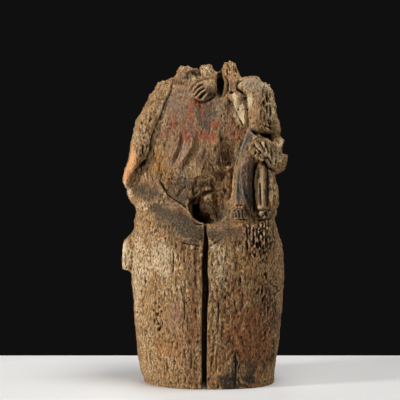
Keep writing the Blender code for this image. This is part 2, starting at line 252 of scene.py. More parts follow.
across, up = seen_places()
for x, z, half_width, half_height, right, higher in NUDGES:
    gone = ((across - x) / half_width) ** 2 + ((up - z) / half_height) ** 2
    share = np.clip(1 - gone, 0, 1) ** 2
    at[:, 0] += share * right / 1000
    at[:, 2] += share * higher / 1000
carving.data.vertices.foreach_set("co", at.ravel())
carving.data.update()
print("Eased places:", len(NUDGES))

# %% [markdown]
# ## Drawing on the wood
#
# A carver draws on the front of the block, as the figure is seen, and then cuts along the lines. The
# next three cells give the same means. A line or a spot drawn in those millimetres pushes the wood in
# or out along the surface's own direction, and only where it faces the carver.

# %% Measure where each point is seen and how squarely it faces the carver
FACING_GAIN = 2.2  # with the next value: fully up to 60 degrees from the carver, not at all at the sides
FACING_LOSS = 0.1

at = read(carving, "co")
facing = read(carving, "normal")
across, up = seen_places()
from_front = np.clip(-facing[:, 1] * FACING_GAIN - FACING_LOSS, 0, 1)
push = np.zeros(len(at))  # millimetres into the wood
print("Share of the points that face the carver:", round(float((from_front > 0.5).mean()), 2))

# %% Draw a smooth line, and measure beside it and along it
SHALLOW_END = 0.15  # a stroke's share of its depth at its very ends


def smooth_line(line, steps=5):
    """More points on a drawn line, on a curve through all of them."""
    drawn = np.array(line, float)
    padded = np.vstack([2 * drawn[0] - drawn[1], drawn, 2 * drawn[-1] - drawn[-2]])
    made = []
    for a, b, c, d in zip(padded, padded[1:], padded[2:], padded[3:]):
        for t in np.arange(steps) / steps:
            curve = 2 * b + (c - a) * t + (2 * a - 5 * b + 4 * c - d) * t**2
            made.append((curve + (3 * b - a - 3 * c + d) * t**3) / 2)
    return np.array([*made, drawn[-1]])


def beside(line, reach):
    """The points within reach of a line: their numbers, distances, shares along it and sides."""
    drawn = smooth_line(line)
    low, high = drawn.min(axis=0) - reach, drawn.max(axis=0) + reach
    close = np.flatnonzero(
        (across > low[0]) & (across < high[0]) & (up > low[1]) & (up < high[1]) & (from_front > 0)
    )
    x, z = across[close], up[close]
    gap = np.full(len(close), 1e9)
    along = np.zeros(len(close))
    side = np.ones(len(close))
    for i, (a, b) in enumerate(zip(drawn, drawn[1:])):
        run = b - a
        t = np.clip(((x - a[0]) * run[0] + (z - a[1]) * run[1]) / (run @ run), 0, 1)
        off_x, off_z = x - a[0] - t * run[0], z - a[1] - t * run[1]
        away = np.hypot(off_x, off_z)
        nearer = away < gap
        gap = np.where(nearer, away, gap)
        along = np.where(nearer, (i + t) / (len(drawn) - 1), along)
        side = np.where(nearer, np.sign(run[0] * off_z - run[1] * off_x), side)
    return close, gap, along, side


def fade(along, grows, ends=6):
    """A stroke starts and ends shallow, and may grow from its start to its end."""
    share = np.clip(np.minimum(along, 1 - along) * ends + SHALLOW_END, 0, 1)
    return share * (grows[0] + (grows[1] - grows[0]) * along)


print("A line of three points is drawn with", len(smooth_line(((0, 0), (5, 9), (0, 18)))), "points")

# %% Make the strokes: a cut, an edge, a soft spot and a dent
SPOT_RIM = 1.35  # a soft spot fades out at this many times its half width
SPOT_FADE = 0.85  # and starts to fade so far inside that rim


def cut(line, width, depth, grows=(1, 1)):
    """A gouge's groove: its half width and depth in mm. A negative depth leaves a ridge."""
    close, gap, along, _ = beside(line, width * 3)
    push[close] += depth * fade(along, grows) * np.exp(-((gap / width) ** 2)) * from_front[close]


def edge(line, rise, reach, side=1, slope=3, grows=(1, 1)):
    """An overlapping edge: one side of the line stands proud, and is level again beyond its reach."""
    close, gap, along, where = beside(line, reach * 2)
    over = np.clip(0.5 + where * side * gap / slope, 0, 1)
    push[close] -= (
        rise * fade(along, grows, 3) * over * np.exp(-((gap / reach) ** 2)) * from_front[close]
    )


def within(spots):
    """How far each point lies inside the strongest of some soft spots. A spot is its place and half
    sizes in mm, and its strength where that isn't 1."""
    most = np.zeros(len(across))
    for x, z, half_width, half_height, *strength in spots:
        r = np.hypot((across - x) / half_width, (up - z) / half_height)
        share = np.clip((SPOT_RIM - r) / SPOT_FADE, 0, 1)
        most = np.maximum(most, share * share * (3 - 2 * share) * (strength[0] if strength else 1))
    return most


def dent(spots):
    """Round hollows: each spot's fifth number is its depth in mm. A negative depth is a bump."""
    for x, z, half_width, half_height, depth in spots:
        push[:] += depth * within([(x, z, half_width, half_height)]) * from_front


print("Points in line with a soft spot on the chest:", int((within([(0, 560, 10, 10)]) > 0).sum()))

# %% [markdown]
# ## The mother's mantle and dress
#
# Her mantle hangs over both shoulders in two borders that leave the chest free. On the left the gap
# beside the chest starts as a hair line and opens into a deep cut above the hip. The dress falls from
# the chest in soft folds and blouses over a belt that is now a dark hollow line. Across the lap a
# second border of cloth runs down to the knees.

# %% Cut the mantle and the folds of the dress
CHEST_LINE = (
    (-74, 659), (-74, 645), (-77, 631), (-84, 616), (-91, 597), (-97, 578), (-104, 561), (-110, 546),
)
CHEST_CUT = (
    (-104, 561), (-110, 546), (-115, 530), (-117, 516), (-119, 505), (-126, 491), (-135, 478),
    (-145, 466), (-152, 455),
)
TORN_HEM = ((-149, 458), (-147, 448), (-150, 437), (-156, 430))
FOLD_A_RIDGE = ((-56, 542), (-58, 529), (-61, 513), (-68, 498), (-76, 483))
FOLD_A_GROOVE = ((-49, 542), (-52, 527), (-55, 509), (-61, 491), (-69, 474))
FOLD_B_RIDGE = ((-27, 542), (-29, 520), (-35, 505), (-44, 491), (-54, 478), (-62, 467))
FOLD_B_CREST = ((-44, 527), (-47, 511), (-54, 496), (-61, 478))
FOLD_B_GROOVE = ((-20, 531), (-25, 507), (-34, 489), (-43, 472), (-52, 458))
FOLD_C_GROOVE = ((5, 524), (1, 500), (-8, 480), (-19, 463))
BLOUSE_EDGE = ((-65, 461), (-58, 453), (-40, 444), (-25, 444), (-9, 450), (8, 450), (23, 445), (41, 454))

cut(CHEST_LINE, 2.2, 5.5, grows=(0.6, 1.2))
edge(CHEST_LINE, 2.6, 24, side=-1)
cut(CHEST_CUT, 2.9, 11, grows=(0.75, 1.5))
edge(CHEST_CUT, 3.4, 20, side=-1)
cut(TORN_HEM, 2.2, -4)
cut(FOLD_A_RIDGE, 1.4, -2.8)
cut(FOLD_A_GROOVE, 1.3, 2.4)
cut(FOLD_B_RIDGE, 2, -2.6)
cut(FOLD_B_CREST, 1.5, -2.4)
cut(FOLD_B_GROOVE, 1.7, 2.6)
cut(FOLD_C_GROOVE, 1.8, 1.6)
edge(BLOUSE_EDGE, 3.6, 14)
cut(BLOUSE_EDGE, 1.7, 2.4)
print("The dress is cut up to", round(push.max(), 1), "mm deep")

# %% Cut the lap and its hems
LAP_CREASE = (
    (-100, 443), (-96, 434), (-88, 422), (-79, 408), (-66, 398), (-53, 390), (-42, 383), (-32, 377),
)
FLAP_LINE = ((-63, 404), (-56, 410), (-49, 419), (-41, 428))
LAP_RIDGE = (
    (-149, 390), (-129, 387), (-107, 392), (-81, 390), (-60, 385), (-42, 376), (-31, 364), (-25, 353),
)
KNEE_LEDGE = ((-58, 318), (-47, 309), (-32, 308), (-19, 307), (-5, 303))
KNEE_LEDGE_LINE = ((-49, 304), (-36, 300), (-23, 299), (-10, 294))
HEM_RIDGE = ((91, 348), (85, 345), (74, 341), (66, 338), (58, 334))
HEM_STEP = ((54, 322), (47, 317), (38, 312), (28, 306), (14, 298), (5, 293))

cut(LAP_CREASE, 2.2, 5)
edge(LAP_CREASE, 2.6, 20, side=-1)
cut(FLAP_LINE, 1.8, 2.8)
cut(LAP_RIDGE, 4, -2.6)
edge(KNEE_LEDGE, 3.6, 18)
cut(KNEE_LEDGE_LINE, 2, 4.5)
cut(HEM_RIDGE, 1.9, -2.8)
edge(HEM_STEP, 2.6, 16, side=-1, grows=(0.3, 1.3))
cut(HEM_STEP, 1.8, 3, grows=(0.2, 1.4))
print("The ridges stand up to", round(-push.min(), 1), "mm proud")

# %% Cut the right border and the hollow of the lap, and raise the wedge of cloth
BELLY_EDGE = ((33, 551), (32, 533), (33, 516), (35, 496), (38, 474), (45, 458))
RIGHT_BORDER = ((52, 620), (60, 606), (69, 589), (77, 573), (87, 558), (95, 547))
WEDGE_EDGE = ((99, 628), (100, 606), (99, 577), (98, 546))
SWIRL = ((38, 461), (49, 463), (60, 471))
RECESS_LINE = ((27, 422), (34, 423), (42, 424))
RECESS_RIDGE = ((36, 421), (42, 413), (47, 402))
SHOULDER_BREAK = ((-75, 658), (-63, 655), (-47, 652), (-32, 648))
WEDGE_RISE = 11  # mm; the pale wedge of cloth beside the child's sleeve stands so far proud
WEDGE = ((76, 619, 13, 15), (89, 610, 15, 24), (90, 584, 9, 22), (92, 564, 5.3, 15))

edge(BELLY_EDGE, 5.5, 24, side=-1)
cut(RIGHT_BORDER, 3.4, 7.5)
edge(RIGHT_BORDER, 3.4, 16)
cut(WEDGE_EDGE, 1.4, 1.6)
cut(SWIRL, 1.9, -2.8)
cut(RECESS_LINE, 1.7, -2.4)
cut(RECESS_RIDGE, 1.7, -2.4)
cut(SHOULDER_BREAK, 4, 2.4)
dent([
    (50, 469, 4.2, 3.5, -4), (-27, 292, 5.7, 3.5, -3), (-7, 275, 3.3, 4.8, -3),
    (-105, 333, 4.2, 7.5, 2.6), (54, 496, 13, 26, 6), (38, 650, 13, 24, 12), (-25, 419, 2.2, 11, 3),
    (-18, 388, 7, 26, 16), (-10, 366, 11, 18, 8), (8, 390, 18, 33, -16), (-14, 355, 13, 11, 8),
    (123, 428, 9, 57, -7), (30, 390, 11, 26, -7), (-17, 675, 6.6, 10, 8), (58, 633, 4.4, 3.3, 8),
    (90, 620, 3.5, 5.7, 8), (82, 614, 2.2, 2.6, 5), (92, 609, 2.2, 2.6, 5), (90, 577, 5.3, 2.4, 7),
    (74, 595, 2.2, 2.2, 4), (80, 568, 2.2, 2.6, 4),
])
push -= WEDGE_RISE * within(WEDGE) * from_front
print("Strokes so far push up to", round(push.max(), 1), "mm in and", round(-push.min(), 1), "mm out")

# %% [markdown]
# ## The child: hand, shoulder, robe and feet
#
# The child's hand lies on its mother's chest with dark gaps beside its fingers. Its long robe falls
# over each leg in ridges like a curtain, with a dark pleat between the legs, and its toes are small
# beads over the edge of the knee. Its other side is rough, and the mother's forearm holds it there.

# %% Cut the child's hand
BESIDE_HAND = ((-31, 632), (-26, 647), (-15, 657), (-1, 663), (14, 665))
HAND_RIM = ((-27, 634), (-21, 644), (-11, 652), (1, 657), (14, 660), (26, 659))
FINGERS = (
    ((-1, 648), (-13, 640), (-24, 627)),
    ((4, 640), (-8, 633), (-20, 621)),
    ((8, 631), (0, 625), (-5, 616)),
)
FINGER_GAPS = (
    ((-1, 653), (-16, 645), (-27, 632)),
    ((1, 644), (-11, 636), (-22, 624)),
    ((5, 635), (-4, 629), (-13, 619)),
    ((2, 630), (-4, 625), (-9, 618)),
)
WRIST_BREAK = ((27, 659), (29, 652), (28, 641))
UNDER_HAND = ((-26, 621), (-14, 613), (-1, 612), (12, 618), (23, 626), (32, 631))

cut(BESIDE_HAND, 2.4, 3)
cut(HAND_RIM, 2.2, -3)
for line in FINGERS:
    cut(line, 1.5, -2.6)
for line in FINGER_GAPS:
    cut(line, 1.7, 7.5)
cut(WRIST_BREAK, 1.8, -2.4)
cut(UNDER_HAND, 3, 5)
print("Cuts beside the fingers:", len(FINGER_GAPS))

# %% Cut the child's shoulder and sleeve
SHOULDER_CREASE = ((90, 664), (81, 661), (74, 655), (71, 646), (74, 639), (80, 634), (89, 631), (99, 628))
COLLAR_EDGE = ((53, 667), (56, 652), (55, 636))
SLEEVE_RIM = ((100, 626), (101, 608), (101, 586), (100, 564))
STRIP_SLOTS = (
    ((129, 643), (130, 631), (129, 621)),
    ((132, 616), (132, 608), (132, 599)),
    ((138, 637), (139, 625), (140, 613)),
    ((139, 606), (139, 597), (139, 586)),
    ((147, 630), (147, 619), (146, 608)),
    ((145, 601), (146, 590), (145, 579)),
    ((153, 614), (154, 601), (154, 590)),
    ((134, 588), (134, 577), (135, 568)),
    ((141, 575), (143, 566), (144, 557)),
    ((152, 579), (153, 570), (154, 562)),
    ((127, 597), (126, 581), (127, 568)),
    ((135, 560), (144, 554), (153, 555)),
)
ARMPIT = ((101, 551), (115, 545), (131, 541), (144, 535), (155, 527))

cut(SHOULDER_CREASE, 2.1, 4.6)
cut(COLLAR_EDGE, 1.9, -2.4)
cut(SLEEVE_RIM, 2.2, 2.6)
for line in STRIP_SLOTS:
    cut(line, 1.8, 7.5)
cut(ARMPIT, 3.7, 10)
print("Slots in the sleeve:", len(STRIP_SLOTS))

# %% Cut the child's robe
NEAR_LEG_OUTSIDE = ((88, 538), (75, 512), (65, 483), (60, 452), (57, 419), (54, 393))
NEAR_LEG_EDGE = ((93, 536), (81, 511), (71, 483), (66, 452), (63, 419), (60, 388))
NEAR_LEG_CREST = (
    (101, 529), (91, 511), (81, 491), (79, 467), (82, 437), (86, 406), (94, 384), (101, 363),
)
NEAR_LEG_CHANNEL = ((87, 514), (77, 491), (72, 463), (73, 432), (76, 397))
NEAR_LEG_FOLDS = (
    ((94, 489), (93, 458), (94, 423), (99, 388)),
    ((103, 485), (103, 452), (103, 419), (105, 388)),
)
CHANNEL_LINES = (
    ((71, 463), (70, 428), (69, 395)),
    ((76, 454), (76, 423), (78, 395)),
)
PLEAT = ((111, 485), (110, 452), (108, 419), (107, 386), (107, 357))
FAR_LEG_RIDGES = (
    ((120, 478), (119, 450), (117, 419), (116, 382)),
    ((130, 476), (130, 445), (130, 412), (131, 379)),
    ((147, 458), (148, 430), (149, 406), (147, 382)),
    ((157, 441), (160, 419), (160, 390)),
)
FAR_LEG_LINES = (
    ((124, 437), (124, 406), (124, 379)),
    ((138, 467), (139, 437), (139, 406), (139, 377)),
    ((154, 441), (156, 415), (154, 382)),
)

cut(NEAR_LEG_OUTSIDE, 2.6, 3.4)
cut(NEAR_LEG_EDGE, 1.6, -3)
cut(NEAR_LEG_CREST, 2.4, -2.4)
cut(NEAR_LEG_CHANNEL, 3, 5)
for line in NEAR_LEG_FOLDS:
    cut(line, 2.2, -1.8)
for line in CHANNEL_LINES:
    cut(line, 1.2, -2)
cut(PLEAT, 4, -1)
for line in FAR_LEG_RIDGES:
    cut(line, 2, -2.8)
for line in FAR_LEG_LINES:
    cut(line, 2, 5)
print("The robe has", len(NEAR_LEG_FOLDS) + len(FAR_LEG_RIDGES), "ridges")

# %% Cut the child's feet
NEAR_FOOT_EDGE = ((54, 357), (57, 374), (65, 384), (77, 388), (88, 383), (95, 370), (99, 356))
UNDER_NEAR_FOOT = ((54, 353), (67, 351), (82, 352), (98, 354))
FAR_FOOT_TOP = ((114, 373), (124, 376), (137, 377), (150, 375))
FAR_FOOT_RING = ((121, 358), (117, 365), (119, 372), (125, 375), (131, 373))
FAR_FOOT_RING_RIGHT = ((140, 360), (138, 367), (142, 374), (148, 373))
UNDER_FAR_FOOT = ((109, 354), (126, 354), (144, 355), (155, 359))
TOE_GAPS = (
    ((62, 368), (61, 363), (60, 357)),
    ((69, 369), (69, 364), (69, 357)),
    ((77, 370), (77, 364), (77, 357)),
    ((84, 369), (84, 364), (85, 357)),
    ((89, 367), (91, 362), (92, 357)),
)

cut(NEAR_FOOT_EDGE, 2, 4.6)
cut(UNDER_NEAR_FOOT, 2.2, 4.6)
cut(FAR_FOOT_TOP, 1.9, 4)
cut(FAR_FOOT_RING, 1.7, 5.5)
cut(FAR_FOOT_RING_RIGHT, 1.6, 4.5)
cut(UNDER_FAR_FOOT, 2.4, 5)
for line in TOE_GAPS:
    cut(line, 1.3, 3.6)
dent([
    (135, 368, 3.5, 4.8, 8), (65, 374, 2.2, 2, 4.5), (75, 373, 2.6, 2, 4.5), (84, 373, 2, 2, 4.5),
    (124, 366, 4.4, 4.4, -2.4), (65, 384, 4.4, 2.6, -2), (85, 383, 4.4, 2.6, -2),
])
print("The near foot has", len(TOE_GAPS), "cuts beside its toes")

# %% Cut the mother's forearm and the end of her veil
FOREARM_TOP = ((105, 528), (113, 535), (122, 538), (135, 530), (148, 521), (161, 514))
FOREARM_UNDER = ((107, 490), (117, 482), (131, 476), (144, 468), (157, 458), (168, 451))
FOREARM_CUTS = (
    ((106, 519), (114, 509), (125, 498)),
    ((109, 505), (117, 496), (128, 487)),
    ((121, 525), (129, 513), (136, 502)),
    ((132, 522), (139, 510), (142, 498)),
    ((138, 491), (145, 482), (150, 472)),
    ((147, 513), (150, 500), (149, 488)),
    ((157, 507), (160, 491), (157, 477)),
    ((166, 512), (168, 498), (167, 485)),
    ((162, 474), (166, 465), (168, 457)),
    ((174, 491), (174, 478), (172, 466)),
)
FOREARM_CRESTS = (
    ((110, 525), (120, 512), (131, 500)),
    ((126, 527), (135, 512), (140, 496)),
    ((142, 518), (145, 502), (145, 487)),
    ((153, 511), (155, 494), (153, 478)),
    ((113, 499), (124, 489), (137, 481)),
)
VEIL_GROOVE = ((49, 702), (50, 682), (49, 661))

cut(FOREARM_TOP, 2, -3)
cut(FOREARM_UNDER, 3.2, 6.5)
for line in FOREARM_CUTS:
    cut(line, 1.8, 6)
for line in FOREARM_CRESTS:
    cut(line, 1.9, -2)
cut(VEIL_GROOVE, 2, 2)
print("Strokes push up to", round(push.max(), 1), "mm in and", round(-push.min(), 1), "mm out")

# %% [markdown]
# ## The log below the lap
#
# A log dries from the outside, so its skin splits along the grain in short dark lines, the checks.
# Under the child's feet the wood is eaten into rows of upright slots, and low on the viewer's left is
# a cluster of large round holes.

# %% Cut the checks, the slots and the large holes
LOG_CHECKS = (
    ((-120, 70), (-119, 52), (-118, 32)),
    ((68, 63), (69, 24), (68, -16)),
    ((-84, 50), (-83, 32), (-84, 15)),
    ((163, 177), (159, 169), (158, 155)),
    ((169, 199), (161, 195), (155, 184)),
    ((148, 215), (155, 208), (164, 206)),
    ((133, 186), (139, 177), (142, 164)),
    ((146, 138), (148, 120), (146, 103)),
    ((154, 94), (155, 72), (153, 50)),
    ((30, 177), (31, 151), (29, 125)),
    ((-45, 177), (-44, 151), (-45, 133)),
    ((-70, 287), (-69, 261), (-70, 234)),
)
BELOW_FEET = (
    ((92, 344), (92, 329), (93, 314)),
    ((100, 350), (100, 336), (99, 318)),
    ((108, 340), (108, 320), (109, 298)),
    ((116, 350), (117, 340), (116, 329)),
    ((121, 327), (121, 311), (121, 294)),
    ((128, 349), (129, 333), (128, 314)),
    ((136, 340), (137, 320), (136, 303)),
    ((143, 350), (144, 338), (143, 325)),
    ((147, 318), (148, 300), (147, 283)),
    ((154, 344), (155, 329), (156, 311)),
    ((161, 325), (163, 307), (162, 289)),
    ((131, 298), (132, 287), (131, 274)),
)

for line in LOG_CHECKS:
    cut(line, 1.5, 5)
for line in BELOW_FEET:
    cut(line, 1.7, 6.5)
dent([
    (-102, 162, 2.6, 3.5, 7), (-97, 152, 2.2, 3.1, 6), (-107, 145, 2.9, 4.8, 8),
    (-108, 135, 2.4, 3.5, 7), (-105, 125, 2.6, 4, 7), (-103, 112, 3.1, 4.4, 8),
    (-131, 107, 2.4, 7.5, 7), (-114, 155, 1.8, 3.1, 6),
])
print("The log has", len(LOG_CHECKS), "checks and", len(BELOW_FEET), "slots")

# %% [markdown]
# ## Where the worm has been
#
# Wood worm leaves hard or painted wood alone and eats what is soft. The log below the lap is riddled,
# the child's outer side and the forearm are eaten into combs of upright slots, and the chest, the lap
# and the robe are nearly whole. So each point gets a share of eaten wood: an even one on the front,
# lowered and raised by soft spots, and a milder one on the sides and the back.

# %% Map the eaten and the sound wood
SOUND = (
    (-19, 603, 68, 57, 0.8), (-41, 507, 59, 53, 0.65), (-124, 417, 33, 29, 0.8),
    (-80, 366, 37, 22, 0.9), (-38, 333, 33, 31, 0.9), (-58, 406, 33, 22, 0.8), (52, 327, 46, 20, 0.85),
    (98, 650, 29, 20, 0.85), (60, 652, 11, 20, 0.8), (113, 595, 11, 44, 0.75), (85, 441, 22, 66, 0.95),
    (126, 415, 13, 61, 0.9), (76, 368, 20, 13, 0.9), (-67, 140, 18, 37, 0.6), (-166, 474, 13, 44, 0.9),
    (1, 636, 26, 20, 0.95), (100, 531, 13, 15, 0.8), (-52, 680, 15, 11, 0.4), (-120, 590, 31, 79, 0.4),
    (80, 595, 20, 40, 0.5),
)
RIDDLED = (
    (131, 309, 37, 53, 1.2), (144, 595, 18, 55), (139, 494, 33, 33, 0.9), (166, 491, 18, 35),
    (-135, 546, 24, 83, 0.62), (5, 676, 24, 18, 0.3), (58, 685, 20, 18, 0.5), (-54, 652, 26, 11, 0.4),
    (144, 151, 26, 110, 0.95), (139, 215, 22, 40, 0.7), (-104, 138, 10, 35), (-142, 199, 13, 66, 0.35),
    (60, 177, 26, 88, 0.25), (-175, 278, 11, 33, 0.4),
)
BROKEN = (  # where the wood snapped off and left a ragged end
    (-41, 682, 24, 18), (8, 685, 24, 18), (56, 691, 22, 18), (-98, 652, 35, 20, 0.7),
    (-142, 577, 26, 53, 0.8), (-166, 458, 20, 44, 0.6), (-161, 379, 20, 31, 0.6),
    (-170, 283, 18, 53, 0.8), (139, 643, 20, 18, 0.7), (159, 577, 13, 48, 0.7), (175, 502, 13, 44, 0.8),
    (161, 386, 13, 66, 0.5), (170, 287, 13, 66, 0.5),
)
sound = within(SOUND) * from_front
riddled = within(RIDDLED) * from_front
broken = within(BROKEN)
COMMON_SHARE = 0.62  # on the front of the log
HIDDEN_SHARE = 0.4  # on the sides and the back
SOUND_SPARES = 0.85  # how much of that the soundest wood is spared
eaten = HIDDEN_SHARE + (COMMON_SHARE - HIDDEN_SHARE) * from_front
eaten = eaten * (1 - SOUND_SPARES * sound)
print("Eaten share of the front:", round(float(eaten[from_front > 0.5].mean()), 2))

# %% [markdown]
# ## The tunnels
#
# A worm tunnels with the grain, which stands upright in this log, so an opened tunnel shows as a slot
# on the side of the wood and as a round hole on its broken top. They could be cut out one by one with
# a Boolean, but there are thousands. Instead every cell of a tall, narrow lattice holds one egg shape,
# set at random inside its cell, and wood inside an egg is pushed in. The tunnels are drawn up to twice
# as wide as the real ones, 3 to 6 mm, so that they show at this size. Between them are gullies, where
# thin walls fell in. The sides and the back have fewer tunnels, and long checks instead, which run
# like sheets through the log.

# %% Make soft noise
SEED = 17


def soft_noise(size, seed):
    """Random numbers between 0 and 1 on a lattice of that size in mm, blended smoothly between."""
    cell = at * 1000 / np.array(size)
    low = np.floor(cell).astype(int)
    part = cell - low
    part = part * part * (3 - 2 * part)
    low -= low.min(axis=0)
    lattice = np.random.default_rng(seed).random(low.max(axis=0) + 2)
    total = np.zeros(len(at))
    for i in (0, 1):
        for j in (0, 1):
            for k in (0, 1):
                weight = np.ones(len(at))
                for axis, upper in enumerate((i, j, k)):
                    weight *= part[:, axis] if upper else 1 - part[:, axis]
                total += weight * lattice[low[:, 0] + i, low[:, 1] + j, low[:, 2] + k]
    return total


print("Every random number here starts from the seed", SEED)

# %% Make tunnels
WANDER_SIZE = (14, 14, 22)  # mm; the tunnels swerve in waves of this size
SCALES = (0.65, 1.25)  # the smallest and the largest tunnel, as shares of the given size
TUNNEL_RIM = 2.6  # how steeply a tunnel's side drops
AREA_RIM = 8  # how sharply an area with more tunnels ends


def tunnels(pitch, radius, length, share, wander, seed):
    """How far inside a tunnel each point lies, from 0 to 1. Lengths are in mm, and share is how many
    of the lattice's cells hold a tunnel there."""
    moved = at * 1000
    moved[:, 0] += (soft_noise(WANDER_SIZE, seed + 1) - 0.5) * wander
    moved[:, 1] += (soft_noise(WANDER_SIZE, seed + 2) - 0.5) * wander
    cell = moved / np.array(pitch)
    low = np.floor(cell).astype(int)
    first = low.min(axis=0) - 1
    shape = low.max(axis=0) - first + 2
    generator = np.random.default_rng(seed)
    spots = generator.random((*shape, 3))
    chance = generator.random(shape)
    scale = generator.uniform(*SCALES, shape)
    inside = np.zeros(len(at))
    for i in (-1, 0, 1):
        for j in (-1, 0, 1):
            for k in (-1, 0, 1):
                place = low + (i, j, k)
                key = tuple((place - first).T)
                off = (cell - place - spots[key]) * np.array(pitch) / scale[key][:, None]
                level = (off[:, 0] ** 2 + off[:, 1] ** 2) / radius**2
                egg = np.sqrt(level + (off[:, 2] / length * 2) ** 2)
                there = np.clip((share - chance[key]) * AREA_RIM, 0, 1)
                inside = np.maximum(inside, np.clip((1 - egg) * TUNNEL_RIM, 0, 1) * there)
    return inside


print("Tunnels are", SCALES[0], "to", SCALES[1], "times the size that is asked for")

# %% Let the worm in
fine_share = 0.45 * eaten + 0.05
long_share = 0.16 * eaten + 0.7 * riddled
coarse_share = 0.85 * riddled
fine = tunnels(pitch=(4.6, 4.6, 9), radius=1.7, length=8, share=fine_share, wander=4, seed=SEED)
long_ones = tunnels(pitch=(9, 9, 26), radius=2.3, length=28, share=long_share, wander=8, seed=SEED + 10)
coarse = tunnels(pitch=(8, 8, 22), radius=3.0, length=22, share=coarse_share, wander=9, seed=SEED + 20)
print("Points inside a fine tunnel:", round(float((fine > 0.5).mean()), 3))

# %% Add gullies and long checks, and let the deepest win
GULLY_SIZE = (3.6, 3.6, 11)  # mm
GULLY_LEVEL = 0.56  # only the noise above this makes a gully
GULLY_RIM = 4  # how steeply a gully's side drops
GULLY_SHARE = 1.3  # gullies are whole where this times the eaten share is over 1
SHEET_SIZE = (25, 25, 1400)  # mm; so tall that a sheet stands nearly upright through the whole log
SHEET_HALF = 0.05  # how far from the noise's middle value a sheet reaches to both sides
OPEN_SIZE = (30, 30, 110)  # mm; how long a check stays open
OPEN_RIM = 6  # how soon it opens and closes
FINE_DEPTH = 2.2  # mm, as are the next four
LONG_DEPTH = 4.0
COARSE_DEPTH = 6.5
GULLY_DEPTH = 2.6
CHECK_DEPTH = 5

gullies = np.clip((soft_noise(GULLY_SIZE, SEED + 25) - GULLY_LEVEL) * GULLY_RIM, 0, 1)
gullies *= np.clip(eaten * GULLY_SHARE, 0, 1)
sheets = np.clip(1 - abs(soft_noise(SHEET_SIZE, SEED + 50) - 0.5) / SHEET_HALF, 0, 1)
is_open = np.clip((soft_noise(OPEN_SIZE, SEED + 51) - 0.5) * OPEN_RIM, 0, 1)
checks = sheets * is_open * (1 - from_front)
tunnel_depth = np.maximum(np.maximum(fine * FINE_DEPTH, long_ones * LONG_DEPTH), coarse * COARSE_DEPTH)
tunnel_depth = np.maximum(tunnel_depth, np.maximum(gullies * GULLY_DEPTH, checks * CHECK_DEPTH))
print("Points inside a tunnel:", round(float((tunnel_depth > 0.5).mean()), 3))

# %% [markdown]
# ## Wear
#
# Between the tunnels the surface is not flat either. Weather takes the soft wood between the year
# rings, handling rounds the edges, and the drying log moved as a whole. Layers of soft noise do this,
# all stretched along the grain: broad swells, thumb-sized hollows, fine upright furrows and crumbs. The
# back keeps the wide facets of the axe, and the broken ends are ragged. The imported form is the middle
# of the worn surface, so the noise moves the wood both ways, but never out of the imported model's box.

# %% Add up the layers of wear
SWELL, HOLLOW, FURROW, CRUMB = 2.0, 2.4, 1.6, 2.1  # mm, from the lowest to the highest place of each
GNAWED, FACET, SNAPPED, SPLINTER = 1.8, 3.6, 5.0, 4.2  # mm, the same, each only in its own areas
MIDDLE_OF_WEAR = 3.3  # mm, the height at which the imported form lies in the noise
SMOOTHED = 0.62  # how much smoother sound wood is
SHARED_WEAR = 0.35  # the part of the wear that sound wood has as well

rough = 1 - SMOOTHED * sound
wear = SWELL * soft_noise((46, 46, 120), SEED + 30) + HOLLOW * soft_noise((13, 13, 30), SEED + 31) * rough
wear += FURROW * soft_noise((4.6, 4.6, 20), SEED + 32) * rough
wear += CRUMB * soft_noise((3.2, 3.2, 4.4), SEED + 33) * rough
middle_there = MIDDLE_OF_WEAR * (SHARED_WEAR + (1 - SHARED_WEAR) * rough)
wear += GNAWED * riddled * soft_noise((7, 7, 12), SEED + 34) - middle_there
wear += FACET * (1 - from_front) * (soft_noise((26, 26, 44), SEED + 37) - 0.5)
wear += SNAPPED * broken * (soft_noise((7, 7, 8), SEED + 35) - 0.5)
wear += SPLINTER * np.maximum(0.6 * broken, riddled) * (soft_noise((3.6, 3.6, 5), SEED + 36) - 0.2)
print("The mean wear is", round(float(wear.mean()), 2), "mm")

# %% Push the surface in
WALL_SIDE = 8  # mm across; the walls of the crack lie inside this, below WALL_TOP, and face sideways
WALL_TOP = 330  # mm
WALL_FRONT = -0.004  # metres; the walls lie in front of this
WALL_TURN = 0.8  # how far their normals point sideways, at least
WALL_WEAR, WALL_WORM = 0.25, 0.3  # the crack is young, so its walls have little wear and worm
FOOT = 0.004  # metres; the wear fades out over this height, so that the log stands flat
UNDERSIDE = -0.7  # normals that point further down than this aren't worn at all

sideways = abs(facing[:, 0]) > WALL_TURN
walls = (abs(across) < WALL_SIDE) & sideways & (up < WALL_TOP) & (at[:, 1] < WALL_FRONT)
push_all = push + wear + tunnel_depth
push_all[walls] = WALL_WEAR * wear[walls] + WALL_WORM * tunnel_depth[walls]
off_floor = np.clip(at[:, 2] / FOOT, 0, 1)
push_all *= np.where(facing[:, 2] < UNDERSIDE, 0, 1) * off_floor
low_corner, high_corner = (np.array(corner) for corner in packed_box)
moved = np.clip(at - facing * push_all[:, None] / 1000, low_corner, high_corner)
carving.data.vertices.foreach_set("co", moved.ravel())
carving.data.update()
print("The wood moves up to", round(float(push_all.max()), 1), "mm in")

# %% [markdown]
# ## What stands proud and what lies deep
#
# The colours later lighten what stands proud, partly as worn wood and partly as painted highlight, and
# paint shade into what lies deep. To know which is which, each point's push is compared with the mean
# push of its neighbourhood. The mean comes from averaging every point with the points that it shares an
# edge with, again and again.

# %% Measure the relief
ROUNDS = 36  # each round widens the neighbourhood; this many reach about 6 mm

